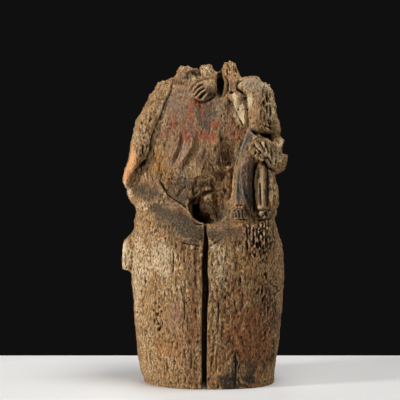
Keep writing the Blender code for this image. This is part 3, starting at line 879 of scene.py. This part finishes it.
ends = np.empty(len(carving.data.edges) * 2, int)
carving.data.edges.foreach_get("vertices", ends)
first, second = ends.reshape(-1, 2).T
neighbours = np.bincount(ends, minlength=len(at))
mean_push = push_all
for _ in range(ROUNDS):
    summed = np.bincount(first, mean_push[second], len(at))
    summed += np.bincount(second, mean_push[first], len(at))
    mean_push = (mean_push + summed / neighbours) / 2
proud = mean_push - push_all  # mm
print("Relief in mm, lowest and highest:", round(proud.min(), 1), round(proud.max(), 1))

# %% [markdown]
# ## Fewer faces where little happens
#
# The mesh is now far finer than the smooth places need. Decimate merges faces where the surface is
# flat and keeps them where it is carved. It is run three times, for the plain back, the front of the
# log, and the child with its hand, because each needs smaller faces than the one before: each time a
# vertex group holds the points that may go. What the colours need later, such as the depth of the
# tunnels, travels along as attributes of the points.

# %% Keep the depths for the colours
DEEPEST = 5  # mm, stored as 1
PROUDEST = 3  # mm, stored as 1, and as much below the mean as 0


def keep(piece, name, values):
    """Stores one number for each point of a piece, for a material to read by its name."""
    attribute = piece.data.attributes.new(name, "FLOAT", "POINT")
    attribute.data.foreach_set("value", values.astype(np.float32))


keep(carving, "eaten_depth", np.clip(tunnel_depth / DEEPEST, 0, 1))
keep(carving, "proud", np.clip(proud / PROUDEST, -1, 1) * 0.5 + 0.5)
keep(carving, "sound_wood", sound)
keep(carving, "seen_from_front", from_front)
print("Numbers kept for each of", len(at), "points: its depth, its relief, its soundness and its turn")

# %% Decimate the back, the log and the child
BACK_TRIANGLES = 62000
LOG_TRIANGLES = 72000  # the log, the lap and the chest, seen from the front
ALL_TRIANGLES = 195000  # the rest is the child, its hand and the top
CHILD_AREAS = ((104, 595, 75, 97), (113, 419, 70, 123), (-1, 643, 40, 44))
AREA_RIM_LEVEL = 0.3  # the child's areas end where their softness has fallen to this
FRONT_TURN = -0.25  # the front's normals point further to the viewer than this
FLOOR = 0.0012  # metres; what decimating lifted less than this goes back to the floor


def thin_out(piece, group, wanted):
    """Decimates the points of one vertex group until the whole piece has so many triangles."""
    now = sum(len(face.vertices) - 2 for face in piece.data.polygons)
    finish_with(piece, "DECIMATE", ratio=wanted / now, vertex_group=group)


carving.vertex_groups.clear()
is_front = facing[:, 1] < FRONT_TURN
is_child = is_front & (within(CHILD_AREAS) > AREA_RIM_LEVEL)
groups = {"back": ~is_front, "log": is_front & ~is_child, "child": is_child}
for name, chosen in groups.items():
    carving.vertex_groups.new(name=name).add(np.flatnonzero(chosen).tolist(), 1.0, "REPLACE")
each = 2 * len(carving.data.polygons) / len(at)  # triangles to a point
thin_out(carving, "back", each * float(is_front.sum()) + BACK_TRIANGLES)
thin_out(carving, "log", each * float(is_child.sum()) + BACK_TRIANGLES + LOG_TRIANGLES)
thin_out(carving, "child", ALL_TRIANGLES)
carving.vertex_groups.clear()
bpy.ops.object.shade_smooth()
at = np.clip(read(carving, "co"), low_corner, high_corner)
at[at[:, 2] < FLOOR, 2] = 0
carving.data.vertices.foreach_set("co", at.ravel())
carving.data.update()
print("The carving has", sum(len(face.vertices) - 2 for face in carving.data.polygons), "triangles")

# %% [markdown]
# ## What is left of the paint
#
# The mother's dress was red and grey over a pale ground, the child's robe blue, the lap dark green,
# and now each is a stain or a few flakes. A material can break a soft shape into flakes, but it has to
# be told where to start. So every colour gets a map: soft spots in millimetres, drawn on the front.
# Soft noise bends the places first, so that no spot keeps the outline of an ellipse. Each map says how
# far it bends, from 0 to 1, because a stain wanders and the painted shade in a cut doesn't.

# %% Bend the places
WIDE_SIZE, WIDE_BEND = (26, 26, 34), 17  # mm; half of the bend goes to each side
FINE_SIZE, FINE_BEND = (9, 9, 13), 10  # mm

seen = np.empty(len(at))
carving.data.attributes["seen_from_front"].data.foreach_get("value", seen)
drawn_across, drawn_up = seen_places()
bend_across, bend_up = (
    (soft_noise(WIDE_SIZE, SEED + seed) - 0.5) * WIDE_BEND
    + (soft_noise(FINE_SIZE, SEED + seed) - 0.5) * FINE_BEND
    for seed in (40, 41)
)
print("Places are bent up to", round(float(abs(bend_across).max()), 1), "mm across")

# %% Map the tones of the bare wood, with some painted light and shade
WOOD_MAPS = {
    "golden_and_painted_light": (1, (
        (-98, 476, 26, 37), (-85, 450, 20, 18, 0.7), (113, 590, 13, 37, 0.9), (43, 678, 7.7, 20, 0.9),
        (-27, 90, 20, 110, 0.6), (-87, 46, 53, 61, 0.5), (-120, 177, 18, 48, 0.6),
        (135, 502, 33, 29, 0.8), (19, 122, 15, 110, 0.4), (69, 349, 26, 6.6, 0.6),
        # Painted light: the spot at 38, 384 lightens the shaded right wall of the hollow in the lap.
        (38, 384, 18, 26, 0.7), (85, 287, 31, 31, 0.5), (-69, 232, 22, 44, 0.4), (32, 243, 20, 66, 0.5),
    )),
    "bleached_and_painted_light": (0.8, (
        # Painted light: the spot at 12, 379 lightens the shaded right wall of the hollow in the lap.
        (-96, 590, 13, 20, 0.7), (-98, 41, 44, 35, 0.5), (12, 379, 11, 15), (-170, 419, 11, 31, 0.9),
        (135, 643, 18, 15), (139, 564, 13, 18, 0.9), (168, 511, 9, 22, 1.3), (-96, 560, 15, 35, 0.5),
        (-124, 529, 13, 53, 0.5), (131, 643, 22, 18), (113, 603, 13, 22, 0.5), (34, 243, 20, 70, 0.7),
        (-153, 177, 13, 88, 0.7), (-131, 28, 40, 26, 0.5), (-47, 511, 9, 35, 0.5),
        (91, 608, 13, 20, 1.3), (-142, 256, 33, 75, 0.7), (-67, 204, 33, 61, 0.5),
        # Partly painted light: the spots at 91, 608, at 82, 599, at 71, 621 and at 91, 573 lighten the
        # pale wedge of cloth beside the sleeve, which lies in shade.
        (-91, 265, 33, 57, 0.8), (-135, 112, 13, 97, 0.45), (-177, 276, 11, 40, 1.3),
        (82, 599, 18, 40, 1.3), (71, 621, 18, 15, 1.1), (91, 573, 9, 22, 1.1), (-155, 555, 9, 66, 0.55),
        (23, 294, 15, 13, 0.8), (-135, 384, 18, 13, 0.7), (8, 678, 20, 13, 0.7), (-36, 687, 18, 9, 0.6),
        (60, 691, 13, 9, 0.6), (12, 221, 11, 75, 0.45), (139, 639, 18, 13, 0.6),
        (131, 507, 22, 20, 1.1), (168, 507, 9, 31, 1.2), (150, 485, 15, 20, 0.9),
        (146, 590, 15, 44, 0.85), (117, 432, 4, 53, 0.8), (131, 432, 4.4, 53, 0.8),
        (144, 428, 4.4, 48, 0.6), (157, 423, 4, 35, 0.7), (-27, 294, 9, 6.6, 0.9),
        (115, 90, 1.8, 1.8, 3), (159, 342, 6.6, 18, 0.4),
    )),
    "worn_pale_wood": (0.4, (
        (36, 573, 13, 35, 0.7), (113, 590, 9, 20, 0.6), (100, 652, 31, 18, 1.2), (85, 608, 18, 33, 0.8),
        (117, 630, 11, 20, 0.6), (3, 652, 18, 9, 0.6), (-47, 513, 9, 33, 0.6), (-85, 384, 35, 6.6, 0.5),
        (111, 344, 26, 6.6, 0.5),
    )),
    # Partly painted shade: besides brown varnish, this map darkens the right side of the log, the recess
    # above the hollow under the belt and the band beside the crack, where shade falls.
    "brown_varnish_and_shade": (1, (
        (-54, 296, 31, 18, 0.8), (-25, 272, 11, 40, 0.9), (-21, 57, 11, 75, 0.9),
        (100, 122, 26, 31, 0.8), (85, 542, 9, 18), (56, 643, 9, 15, 1.2), (-122, 614, 11, 15, 0.8),
        (-69, 663, 13, 13, 0.9), (-25, 133, 13, 145, 0.9), (-25, 296, 11, 18, 0.8),
        (58, 608, 9, 24, 1.2), (1, 581, 20, 37, 0.9), (60, 480, 13, 31, 1.2), (36, 456, 18, 13, 1.2),
        (38, 401, 18, 26, 1.1), (85, 318, 20, 22, 1.5), (-126, 417, 33, 26, 0.8),
        (135, 458, 15, 22, 0.7), (131, 368, 22, 11), (54, 500, 18, 31), (8, 485, 33, 35, 0.8),
        (5, 428, 24, 20, 1.2), (25, 397, 18, 31, 0.8), (56, 452, 18, 18, 0.6), (-21, 551, 70, 29, 0.5),
        (-23, 434, 37, 13), (133, 120, 37, 119, 0.9), (78, 79, 31, 75, 0.7), (56, 155, 44, 123, 0.8),
        (126, 318, 40, 40, 1.4), (-23, 133, 22, 141, 0.6), (-54, 406, 26, 20, 0.8),
        (52, 329, 35, 15, 0.6), (-1, 639, 26, 18), (135, 502, 31, 26, 0.7), (-41, 669, 18, 13, 0.6),
        (5, 674, 18, 13, 0.4),
    )),
}
print("Maps of bare wood:", len(WOOD_MAPS))

# %% Map the paint of the dress, the lap and the robe
PAINT_MAPS = {
    "grey_paint": (1, (
        (-54, 612, 40, 40, 0.8), (21, 599, 40, 40, 0.8), (-32, 663, 31, 18, 0.8), (1, 645, 18, 13, 0.7),
        (-47, 445, 22, 29, 0.9), (45, 562, 15, 26, 0.7), (-12, 507, 18, 26, 0.6),
        (19, 502, 18, 35, 0.5), (-98, 419, 11, 18, 0.8), (-36, 674, 9, 9, 0.7),
        (111, 630, 6.6, 18, 0.7),
    )),
    "pink_ground": (1, (
        (91, 485, 13, 29, 0.9), (-32, 568, 75, 53, 0.7), (47, 555, 22, 44, 0.7),
        (-47, 520, 20, 35, 0.9), (-60, 489, 18, 22, 0.8), (-82, 546, 20, 20, 0.7),
        (-54, 404, 26, 20, 0.8), (-67, 140, 20, 42, 0.7), (-41, 672, 13, 11, 0.9),
        (-19, 643, 20, 13, 0.4), (-67, 318, 11, 20, 0.5), (3, 645, 11, 9, 0.8),
    )),
    "grey_stripe": (0.8, (
        (10, 586, 20, 44, 1.1), (-9, 577, 9, 29, 1.25), (1, 555, 11, 11, 0.9), (38, 494, 6.6, 26, 0.6),
        (41, 540, 5.3, 15, 0.9), (-1, 507, 9, 22, 0.6), (-34, 489, 6.6, 20, 0.7), (38, 355, 9, 9, 1.1),
    )),
    "green_lap": (0.7, (
        (-98, 366, 22, 20, 1.1), (-80, 344, 26, 20, 1.1), (-58, 322, 26, 18), (41, 366, 26, 26, 1.1),
        (-69, 428, 20, 18), (-98, 371, 31, 18, 0.9), (-104, 378, 22, 12, 1.5), (-85, 368, 26, 18, 1.5),
        (-65, 357, 26, 22, 1.45), (-47, 342, 26, 26, 1.5), (-34, 327, 22, 24, 1.5),
        (-21, 314, 18, 15, 1.4), (-12, 327, 9, 15, 1.2), (-87, 397, 29, 15, 0.9),
        (23, 322, 24, 20, 1.3), (54, 333, 26, 13, 1.1), (-142, 419, 18, 24, 1.2), (-117, 406, 22, 20),
        (27, 432, 20, 15, 0.9), (-54, 401, 29, 20), (-63, 353, 48, 35, 0.6),
    )),
    # Partly painted shade: besides the robe's own dark tone, this map darkens the pleat between the
    # child's legs.
    "dark_robe_and_pleat_shade": (0.4, (
        (93, 432, 18, 48, 1.2), (98, 406, 11, 40, 1.4), (74, 430, 6.6, 48, 1.1), (110, 419, 4, 66, 1.4),
        (138, 423, 5.3, 44, 1.1), (142, 199, 22, 48, 0.35), (109, 458, 7.5, 18, 1.2),
        (148, 151, 20, 48, 0.65), (126, 318, 31, 31, 0.7), (76, 368, 20, 13, 1.3),
        (131, 366, 22, 11, 1.4),
    )),
    "blue_robe": (0.3, (
        (107, 549, 9, 7.5, 1.4), (96, 533, 10, 13, 1.5), (87, 518, 9, 13, 1.5), (80, 502, 7, 15, 1.4),
        (74, 485, 6.6, 15, 1.3), (74, 454, 6.1, 22, 1.2), (74, 419, 6.6, 31, 1.5),
        (93, 401, 7.5, 22, 1.1), (124, 404, 2.6, 26, 0.9), (136, 406, 3.5, 26, 0.9),
        (126, 366, 11, 9, 0.7), (148, 542, 13, 5.3, 0.8), (38, 349, 11, 6.6, 0.6),
    )),
}
print("Maps of paint:", len(PAINT_MAPS))

# %% Map the painted shade in the recesses, and the stains
STAIN_AND_PAINTED_LIGHT_MAPS = {
    # The first map is painted shade, laid into the hollow of the lap, the pleat, the armpit and the gaps
    # beside the hand, the fingers and the neck, where shade falls.
    "recess_shade": (0.25, (
        (65, 588, 18, 18, 0.4), (115, 456, 7.9, 15, 0.9), (-25, 419, 3.1, 13, 0.9),
        (-22, 390, 7.9, 20, 1.4), (-16, 368, 11, 18, 1.4), (-10, 351, 13, 10, 1.4),
        (-3, 353, 13, 10, 1.4), (12, 351, 9, 5.7, 1.2), (36, 647, 12, 22, 1.3), (-18, 675, 7, 9, 1.4),
        (133, 538, 20, 6.6), (110, 415, 3.3, 48, 1.3), (145, 590, 3.1, 18), (133, 610, 6.6, 4.4),
        (-137, 474, 6.6, 11, 0.8), (98, 331, 6.6, 22, 0.7), (133, 327, 6.6, 26, 0.7),
        (-7, 625, 5.3, 5.3), (16, 630, 13, 5.7, 0.8), (36, 483, 6.6, 18, 0.7), (-3, 432, 18, 9, 0.6),
    )),
    "dark_stain": (0.4, (
        (38, 2, 11, 15, 0.9), (87, 37, 9, 18, 0.7), (73, 54, 7.5, 20, 1.3), (68, 28, 12, 20, 1.3),
        (60, 4, 18, 18, 1.3), (52, -11, 18, 9, 1.3), (71, -7, 11, 13, 1.3), (98, 54, 11, 15, 0.55),
        (102, 30, 13, 20, 0.85), (98, 6, 18, 15), (91, -14, 26, 4.4, 0.8), (135, 41, 6.6, 44, 0.8),
        (148, 63, 4.4, 31, 0.7), (126, 112, 18, 26, 0.4),
    )),
    "rust_and_painted_light": (0.5, (
        (100, 101, 57, 79, 0.95), (126, 129, 35, 48, 0.8), (-25, 133, 13, 127, 0.65),
        (65, 155, 40, 83, 0.65), (-54, 79, 31, 57, 0.6), (117, 15, 6.1, 20, 1.3), (84, 50, 4, 15, 1.1),
        (104, -9, 20, 5.3), (133, 107, 9, 10), (126, 63, 6.6, 26, 0.8), (32, -5, 9, 9, 0.8),
        # Painted light: the spots at 14, 371 and 23, 390 lighten the shaded right wall of the hollow in
        # the lap.
        (10, -3, 6.6, 13, 0.8), (139, 15, 6.6, 22, 0.7), (14, 371, 13, 15, 0.7),
        (23, 390, 18, 31, 0.45), (135, 507, 18, 13, 0.5), (74, 353, 18, 5.3, 0.7),
        (109, 349, 6.6, 6.6, 0.9), (76, 384, 9, 6.6, 0.7), (-5, 265, 6.6, 66, 0.4),
    )),
}
print("Maps of dirt and stains:", len(STAIN_AND_PAINTED_LIGHT_MAPS))

# %% Map the red of the dress and the fresh break, and store all the maps
FRONT_COLOUR = 1.6  # colours are whole where this times a point's share of the front is over 1

RED_MAPS = {
    "red_wash": (1, (
        (-19, 612, 26, 15, 0.9), (-67, 564, 20, 31, 0.6), (8, 603, 15, 22, 0.9),
        (-36, 568, 22, 40, 0.9), (-47, 533, 26, 20), (1, 538, 33, 20), (27, 564, 20, 18),
        (63, 540, 20, 29, 0.9), (3, 590, 11, 26, 0.8), (-80, 544, 18, 15, 0.8), (-41, 674, 9, 9, 0.5),
    )),
    "red_flakes": (0.7, (
        (-14, 613, 18, 7.5, 1.4), (-30, 586, 5.3, 22, 1.2), (1, 592, 4.8, 20, 1.5),
        (-66, 568, 9, 20, 0.8), (-78, 544, 13, 9, 0.7), (-45, 535, 7.9, 15), (-10, 540, 11, 12, 1.1),
        (27, 564, 13, 12), (16, 534, 11, 11, 1.4), (56, 555, 6.6, 11, 0.6), (66, 529, 7.5, 11),
        (-52, 557, 5.3, 13, 0.7),
    )),
    "fresh_break": (0.3, (
        (-157, 485, 11, 31, 1.1), (-164, 480, 12, 33, 1.2), (-170, 450, 11, 18, 1.2),
        (-160, 509, 10, 18),
    )),
}
all_maps = {**WOOD_MAPS, **PAINT_MAPS, **STAIN_AND_PAINTED_LIGHT_MAPS, **RED_MAPS}
for name, (looseness, spots) in all_maps.items():
    across = drawn_across + looseness * bend_across
    up = drawn_up + looseness * bend_up
    keep(carving, name, within(spots) * np.clip(seen * FRONT_COLOUR, 0, 1))
print("Colour maps:", len(all_maps))

# %% [markdown]
# ## The material
#
# It is old, dry wood that was carved, painted and eaten. Bare wood is matt, its pale ridges lie beside
# dark furrows, and the insides of its tunnels are painted nearly black, as painted shade. Sound places are
# smoother and shine a little. The layers go on in this order: grain, broad tones, the stains and paints,
# painted shade in the recesses, and last the holes through all of them, with painted shade in the tunnels
# and cuts and pale ridges that are partly worn and partly painted highlight. The sides and the back never
# had paint, and their grain is quieter and greyer.
#
# The next cell holds the only two helpers for materials. One turns a colour from the numbers of a paint
# program to the linear ones that Blender works with. The other adds a node.

# %% Small helpers for the materials


def linear(hex_colour):
    """An sRGB colour written as "#rrggbb", as linear numbers."""
    parts = [int(hex_colour[i : i + 2], 16) / 255 for i in (1, 3, 5)]
    return (*[c / 12.92 if c < 0.04045 else ((c + 0.055) / 1.055) ** 2.4 for c in parts], 1)


def add(material, kind, inputs, out=None, **settings):
    """Adds a node with its settings, fills its inputs with values or links, and gives its output."""
    node = material.node_tree.nodes.new("ShaderNode" + kind)
    for name, value in settings.items():
        setattr(node, name, value)
    for name, value in inputs.items():
        if isinstance(value, bpy.types.NodeSocket):
            material.node_tree.links.new(value, node.inputs[name])
        else:
            node.inputs[name].default_value = value
    return node.outputs[out] if out else next(one for one in node.outputs if one.enabled)


print("Middle grey is", [round(part, 3) for part in linear("#808080")], "in linear numbers")

# %% Draw the grain, the worm's bites and the patches
GRAIN = (0.0026, 0.0026, 0.0066)  # metres across, deep and along; real grain is a third of that
FIBRES = (0.0022, 0.0022, 0.034)
BITES = (0.0023, 0.0023, 0.0048)
FLAKES = (0.0062, 0.0062, 0.010)
PATCHES = (0.021, 0.021, 0.034)
TONES = (0.06, 0.06, 0.12)

wood = bpy.data.materials.new("worm_eaten_painted_wood")
wood.use_nodes = True
surface = wood.node_tree.nodes["Principled BSDF"]
place = add(wood, "TexCoord", {}, "Object")
patterns = []
for size, kind, low, high in (  # low and high: where the texture counts as nothing and as whole
    (GRAIN, "TexNoise", 0.37, 0.63),
    (FIBRES, "TexNoise", 0.52, 0.68),
    (BITES, "TexVoronoi", 0.40, 0.14),
    (FLAKES, "TexNoise", 0.38, 0.62),
    (PATCHES, "TexNoise", 0.36, 0.64),
    (TONES, "TexNoise", 0.38, 0.62),
):
    spread = add(wood, "Mapping", {"Vector": place, "Scale": [1 / length for length in size]})
    texture = add(wood, kind, {"Vector": spread, "Scale": 1.0, "Detail": 3.0, "Roughness": 0.68})
    patterns.append(add(wood, "MapRange", {"Value": texture, "From Min": low, "From Max": high}))
grain, fibres, bites, flakes, patches, tones = patterns
print("Patterns in the wood:", len(patterns))

# %% Colour the bare wood
SHARE, UNDER, OVER = 0, 6, 7  # the sockets of a Mix node that mixes colours

soundness = add(wood, "Attribute", {}, "Fac", attribute_name="sound_wood")
calm = add(wood, "MapRange", {"Value": soundness, "To Max": 0.5})
golden = add(wood, "Math", {0: tones, 1: 0.5}, operation="MULTIPLY")
lined = add(wood, "Math", {0: fibres, 1: 0.4}, operation="MULTIPLY")
furrow, ridge = linear("#3C2614"), linear("#D0A973")
colour = add(wood, "Mix", {SHARE: grain, UNDER: furrow, OVER: ridge}, data_type="RGBA")
front = add(wood, "Attribute", {}, "Fac", attribute_name="seen_from_front")
hidden = add(wood, "MapRange", {"Value": front, "From Min": 0.7, "From Max": 0.0, "To Max": 0.62})
dull = add(wood, "Math", {0: hidden, 1: tones}, operation="MULTIPLY")
mottled = add(wood, "Math", {0: hidden, 1: patches}, operation="MULTIPLY")
reddened = add(wood, "MapRange", {"Value": tones, "From Min": 0.45, "From Max": 0.0, "To Max": 0.34})
foxed = add(wood, "MapRange", {"Value": patches, "From Min": 0.5, "To Max": 0.45})
greyed = add(wood, "MapRange", {"Value": flakes, "From Min": 0.45, "From Max": 0.0, "To Max": 0.4})
for share, shade in (
    (hidden, "#7F6145"),
    (dull, "#584534"),
    (mottled, "#9A7750"),
    (calm, "#8A6645"),
    (reddened, "#7C4A2A"),
    (golden, "#906436"),
    (foxed, "#9A5F30"),
    (greyed, "#93836D"),
    (lined, "#3E2A19"),
):
    colour = add(wood, "Mix", {SHARE: share, UNDER: colour, OVER: linear(shade)}, data_type="RGBA")
print("Nodes for the bare wood:", len(wood.node_tree.nodes))

# %% Lay the stains and the paints over it
RIM_START = 0.05  # a layer starts this far above the most that its pattern alone can reach

# Each layer: its map, its colour, the pattern that breaks it, how much it does, how soft its rim is,
# and how well it covers
LAYERS = (
    # golden wood, and painted light on the hollow's wall
    ("golden_and_painted_light", "#A26E38", patches, 0.5, 0.9, 0.7),
    # bleached wood, and painted light on shaded walls
    ("bleached_and_painted_light", "#DCC49E", grain, 0.6, 0.8, 0.8),
    ("worn_pale_wood", "#AE987A", patches, 0.3, 1.0, 0.7),
    # brown varnish, and painted shade on the right of the log and in the recesses
    ("brown_varnish_and_shade", "#4C2A14", patches, 0.4, 0.9, 0.74),
    ("grey_paint", "#6B5E53", patches, 0.5, 1.0, 0.8),
    ("pink_ground", "#846153", patches, 0.45, 1.0, 0.8),
    ("grey_stripe", "#443D34", flakes, 0.5, 1.1, 0.8),
    ("green_lap", "#362D1E", patches, 0.3, 1.35, 0.88),
    # dark robe, and painted shade in the pleat
    ("dark_robe_and_pleat_shade", "#2E2220", patches, 0.3, 0.9, 0.85),
    ("blue_robe", "#2B3234", flakes, 0.4, 0.9, 0.9),
    ("dark_stain", "#25221F", patches, 0.4, 0.8, 0.88),
    # rust, and painted light on the hollow's wall
    ("rust_and_painted_light", "#955428", flakes, 0.7, 0.9, 0.72),
    ("red_wash", "#7F4A34", flakes, 0.5, 1.1, 0.75),
    ("red_flakes", "#A24C2A", flakes, 0.85, 0.9, 0.85),
    ("fresh_break", "#E0A06A", grain, 0.4, 0.9, 0.85),
    # painted shade, nearly black, in the recesses
    ("recess_shade", "#120D08", grain, 0.3, 0.7, 0.93),
)
for name, shade, pattern, breaking, softness, cover in LAYERS:
    drawn = add(wood, "Attribute", {}, "Fac", attribute_name=name)
    ragged = add(wood, "Math", {0: pattern, 1: breaking, 2: drawn}, operation="MULTIPLY_ADD")
    start = breaking + RIM_START
    reach = {"From Min": start, "From Max": start + softness, "To Max": cover}
    share = add(wood, "MapRange", {"Value": ragged, **reach}, interpolation_type="SMOOTHSTEP")
    colour = add(wood, "Mix", {SHARE: share, UNDER: colour, OVER: linear(shade)}, data_type="RGBA")
print("Layers of stain and paint:", len(LAYERS))

# %% Darken the grain and the worm's bites, paint shade into the tunnels and the cuts, and lighten the ridges as wear and painted highlight
for pattern, shade, start, full, cover in (  # the grain shows through the paint
    (grain, "#1E130A", 0.45, 0.0, 0.42),
    (grain, "#CBB08A", 0.6, 1.0, 0.2),
):
    share = add(wood, "MapRange", {"Value": pattern, "From Min": start, "From Max": full, "To Max": cover})
    colour = add(wood, "Mix", {SHARE: share, UNDER: colour, OVER: linear(shade)}, data_type="RGBA")
gnawed = add(wood, "MapRange", {"Value": soundness, "From Min": 0.2, "To Min": 0.66, "To Max": 0.5})
bitten = add(wood, "Math", {0: bites, 1: gnawed}, operation="MULTIPLY")
colour = add(wood, "Mix", {SHARE: bitten, UNDER: colour, OVER: linear("#4A2E18")}, data_type="RGBA")
DEPTHS = (  # each: its map, its colour, where it starts and is full, and how well it covers
    # pale ridges: partly worn wood, partly painted highlight
    ("proud", "#D4B080", 0.58, 1.0, 0.7),
    # painted shade inside the worm tunnels
    ("eaten_depth", "#20150D", 0.15, 0.8, 0.7),
    # painted shade, nearly black, in the cuts and hollows that lie below their neighbourhood
    ("proud", "#130D08", 0.42, 0.07, 0.92),
)
for name, shade, start, full, cover in DEPTHS:
    drawn = add(wood, "Attribute", {}, "Fac", attribute_name=name)
    share = add(wood, "MapRange", {"Value": drawn, "From Min": start, "From Max": full, "To Max": cover})
    colour = add(wood, "Mix", {SHARE: share, UNDER: colour, OVER: linear(shade)}, data_type="RGBA")
wood.node_tree.links.new(colour, surface.inputs["Base Color"])
print("Shades that follow the depth:", len(DEPTHS))

# %% Give the wood its dull sheen and its finest relief
dullness = add(wood, "MapRange", {"Value": soundness, "To Min": 0.9, "To Max": 0.62})
wood.node_tree.links.new(dullness, surface.inputs["Roughness"])
surface.inputs["IOR"].default_value = 1.45
surface.inputs["Specular IOR Level"].default_value = 0.3
relief = add(wood, "Math", {0: bitten, 1: -1.1, 2: grain}, operation="MULTIPLY_ADD")
bump = add(wood, "Bump", {"Height": relief, "Strength": 0.8, "Distance": 0.0012})
wood.node_tree.links.new(bump, surface.inputs["Normal"])
print("The wood's material has", len(wood.node_tree.nodes), "nodes")

# %% [markdown]
# ## The table's lacquer
#
# A photographer's table is a board with a matt white lacquer. A faint, wide noise in its roughness
# keeps it from looking like plain plastic.

# %% Lacquer the table
lacquer = bpy.data.materials.new("matt_white_lacquer")
lacquer.use_nodes = True
board = lacquer.node_tree.nodes["Principled BSDF"]
board.inputs["Base Color"].default_value = linear("#EDECEA")
where = add(lacquer, "TexCoord", {}, "Object")
smear = add(lacquer, "TexNoise", {"Vector": where, "Scale": 6.0})
gloss = add(lacquer, "MapRange", {"Value": smear, "To Min": 0.42, "To Max": 0.55})
lacquer.node_tree.links.new(gloss, board.inputs["Roughness"])
table.data.materials.append(lacquer)
print("The table is lacquered")

# %% [markdown]
# ## Put the carving in the place of the imported form
#
# The new piece takes the place of the imported node, which is hidden, moves with its body, and is given
# the wood's material.

# %% Join the piece to the frame
carving.data.materials.clear()
carving.data.materials.append(wood)
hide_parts("mother_and_child")
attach(carving, "root")
print("The carving rides on root, with", len(carving.material_slots), "material")
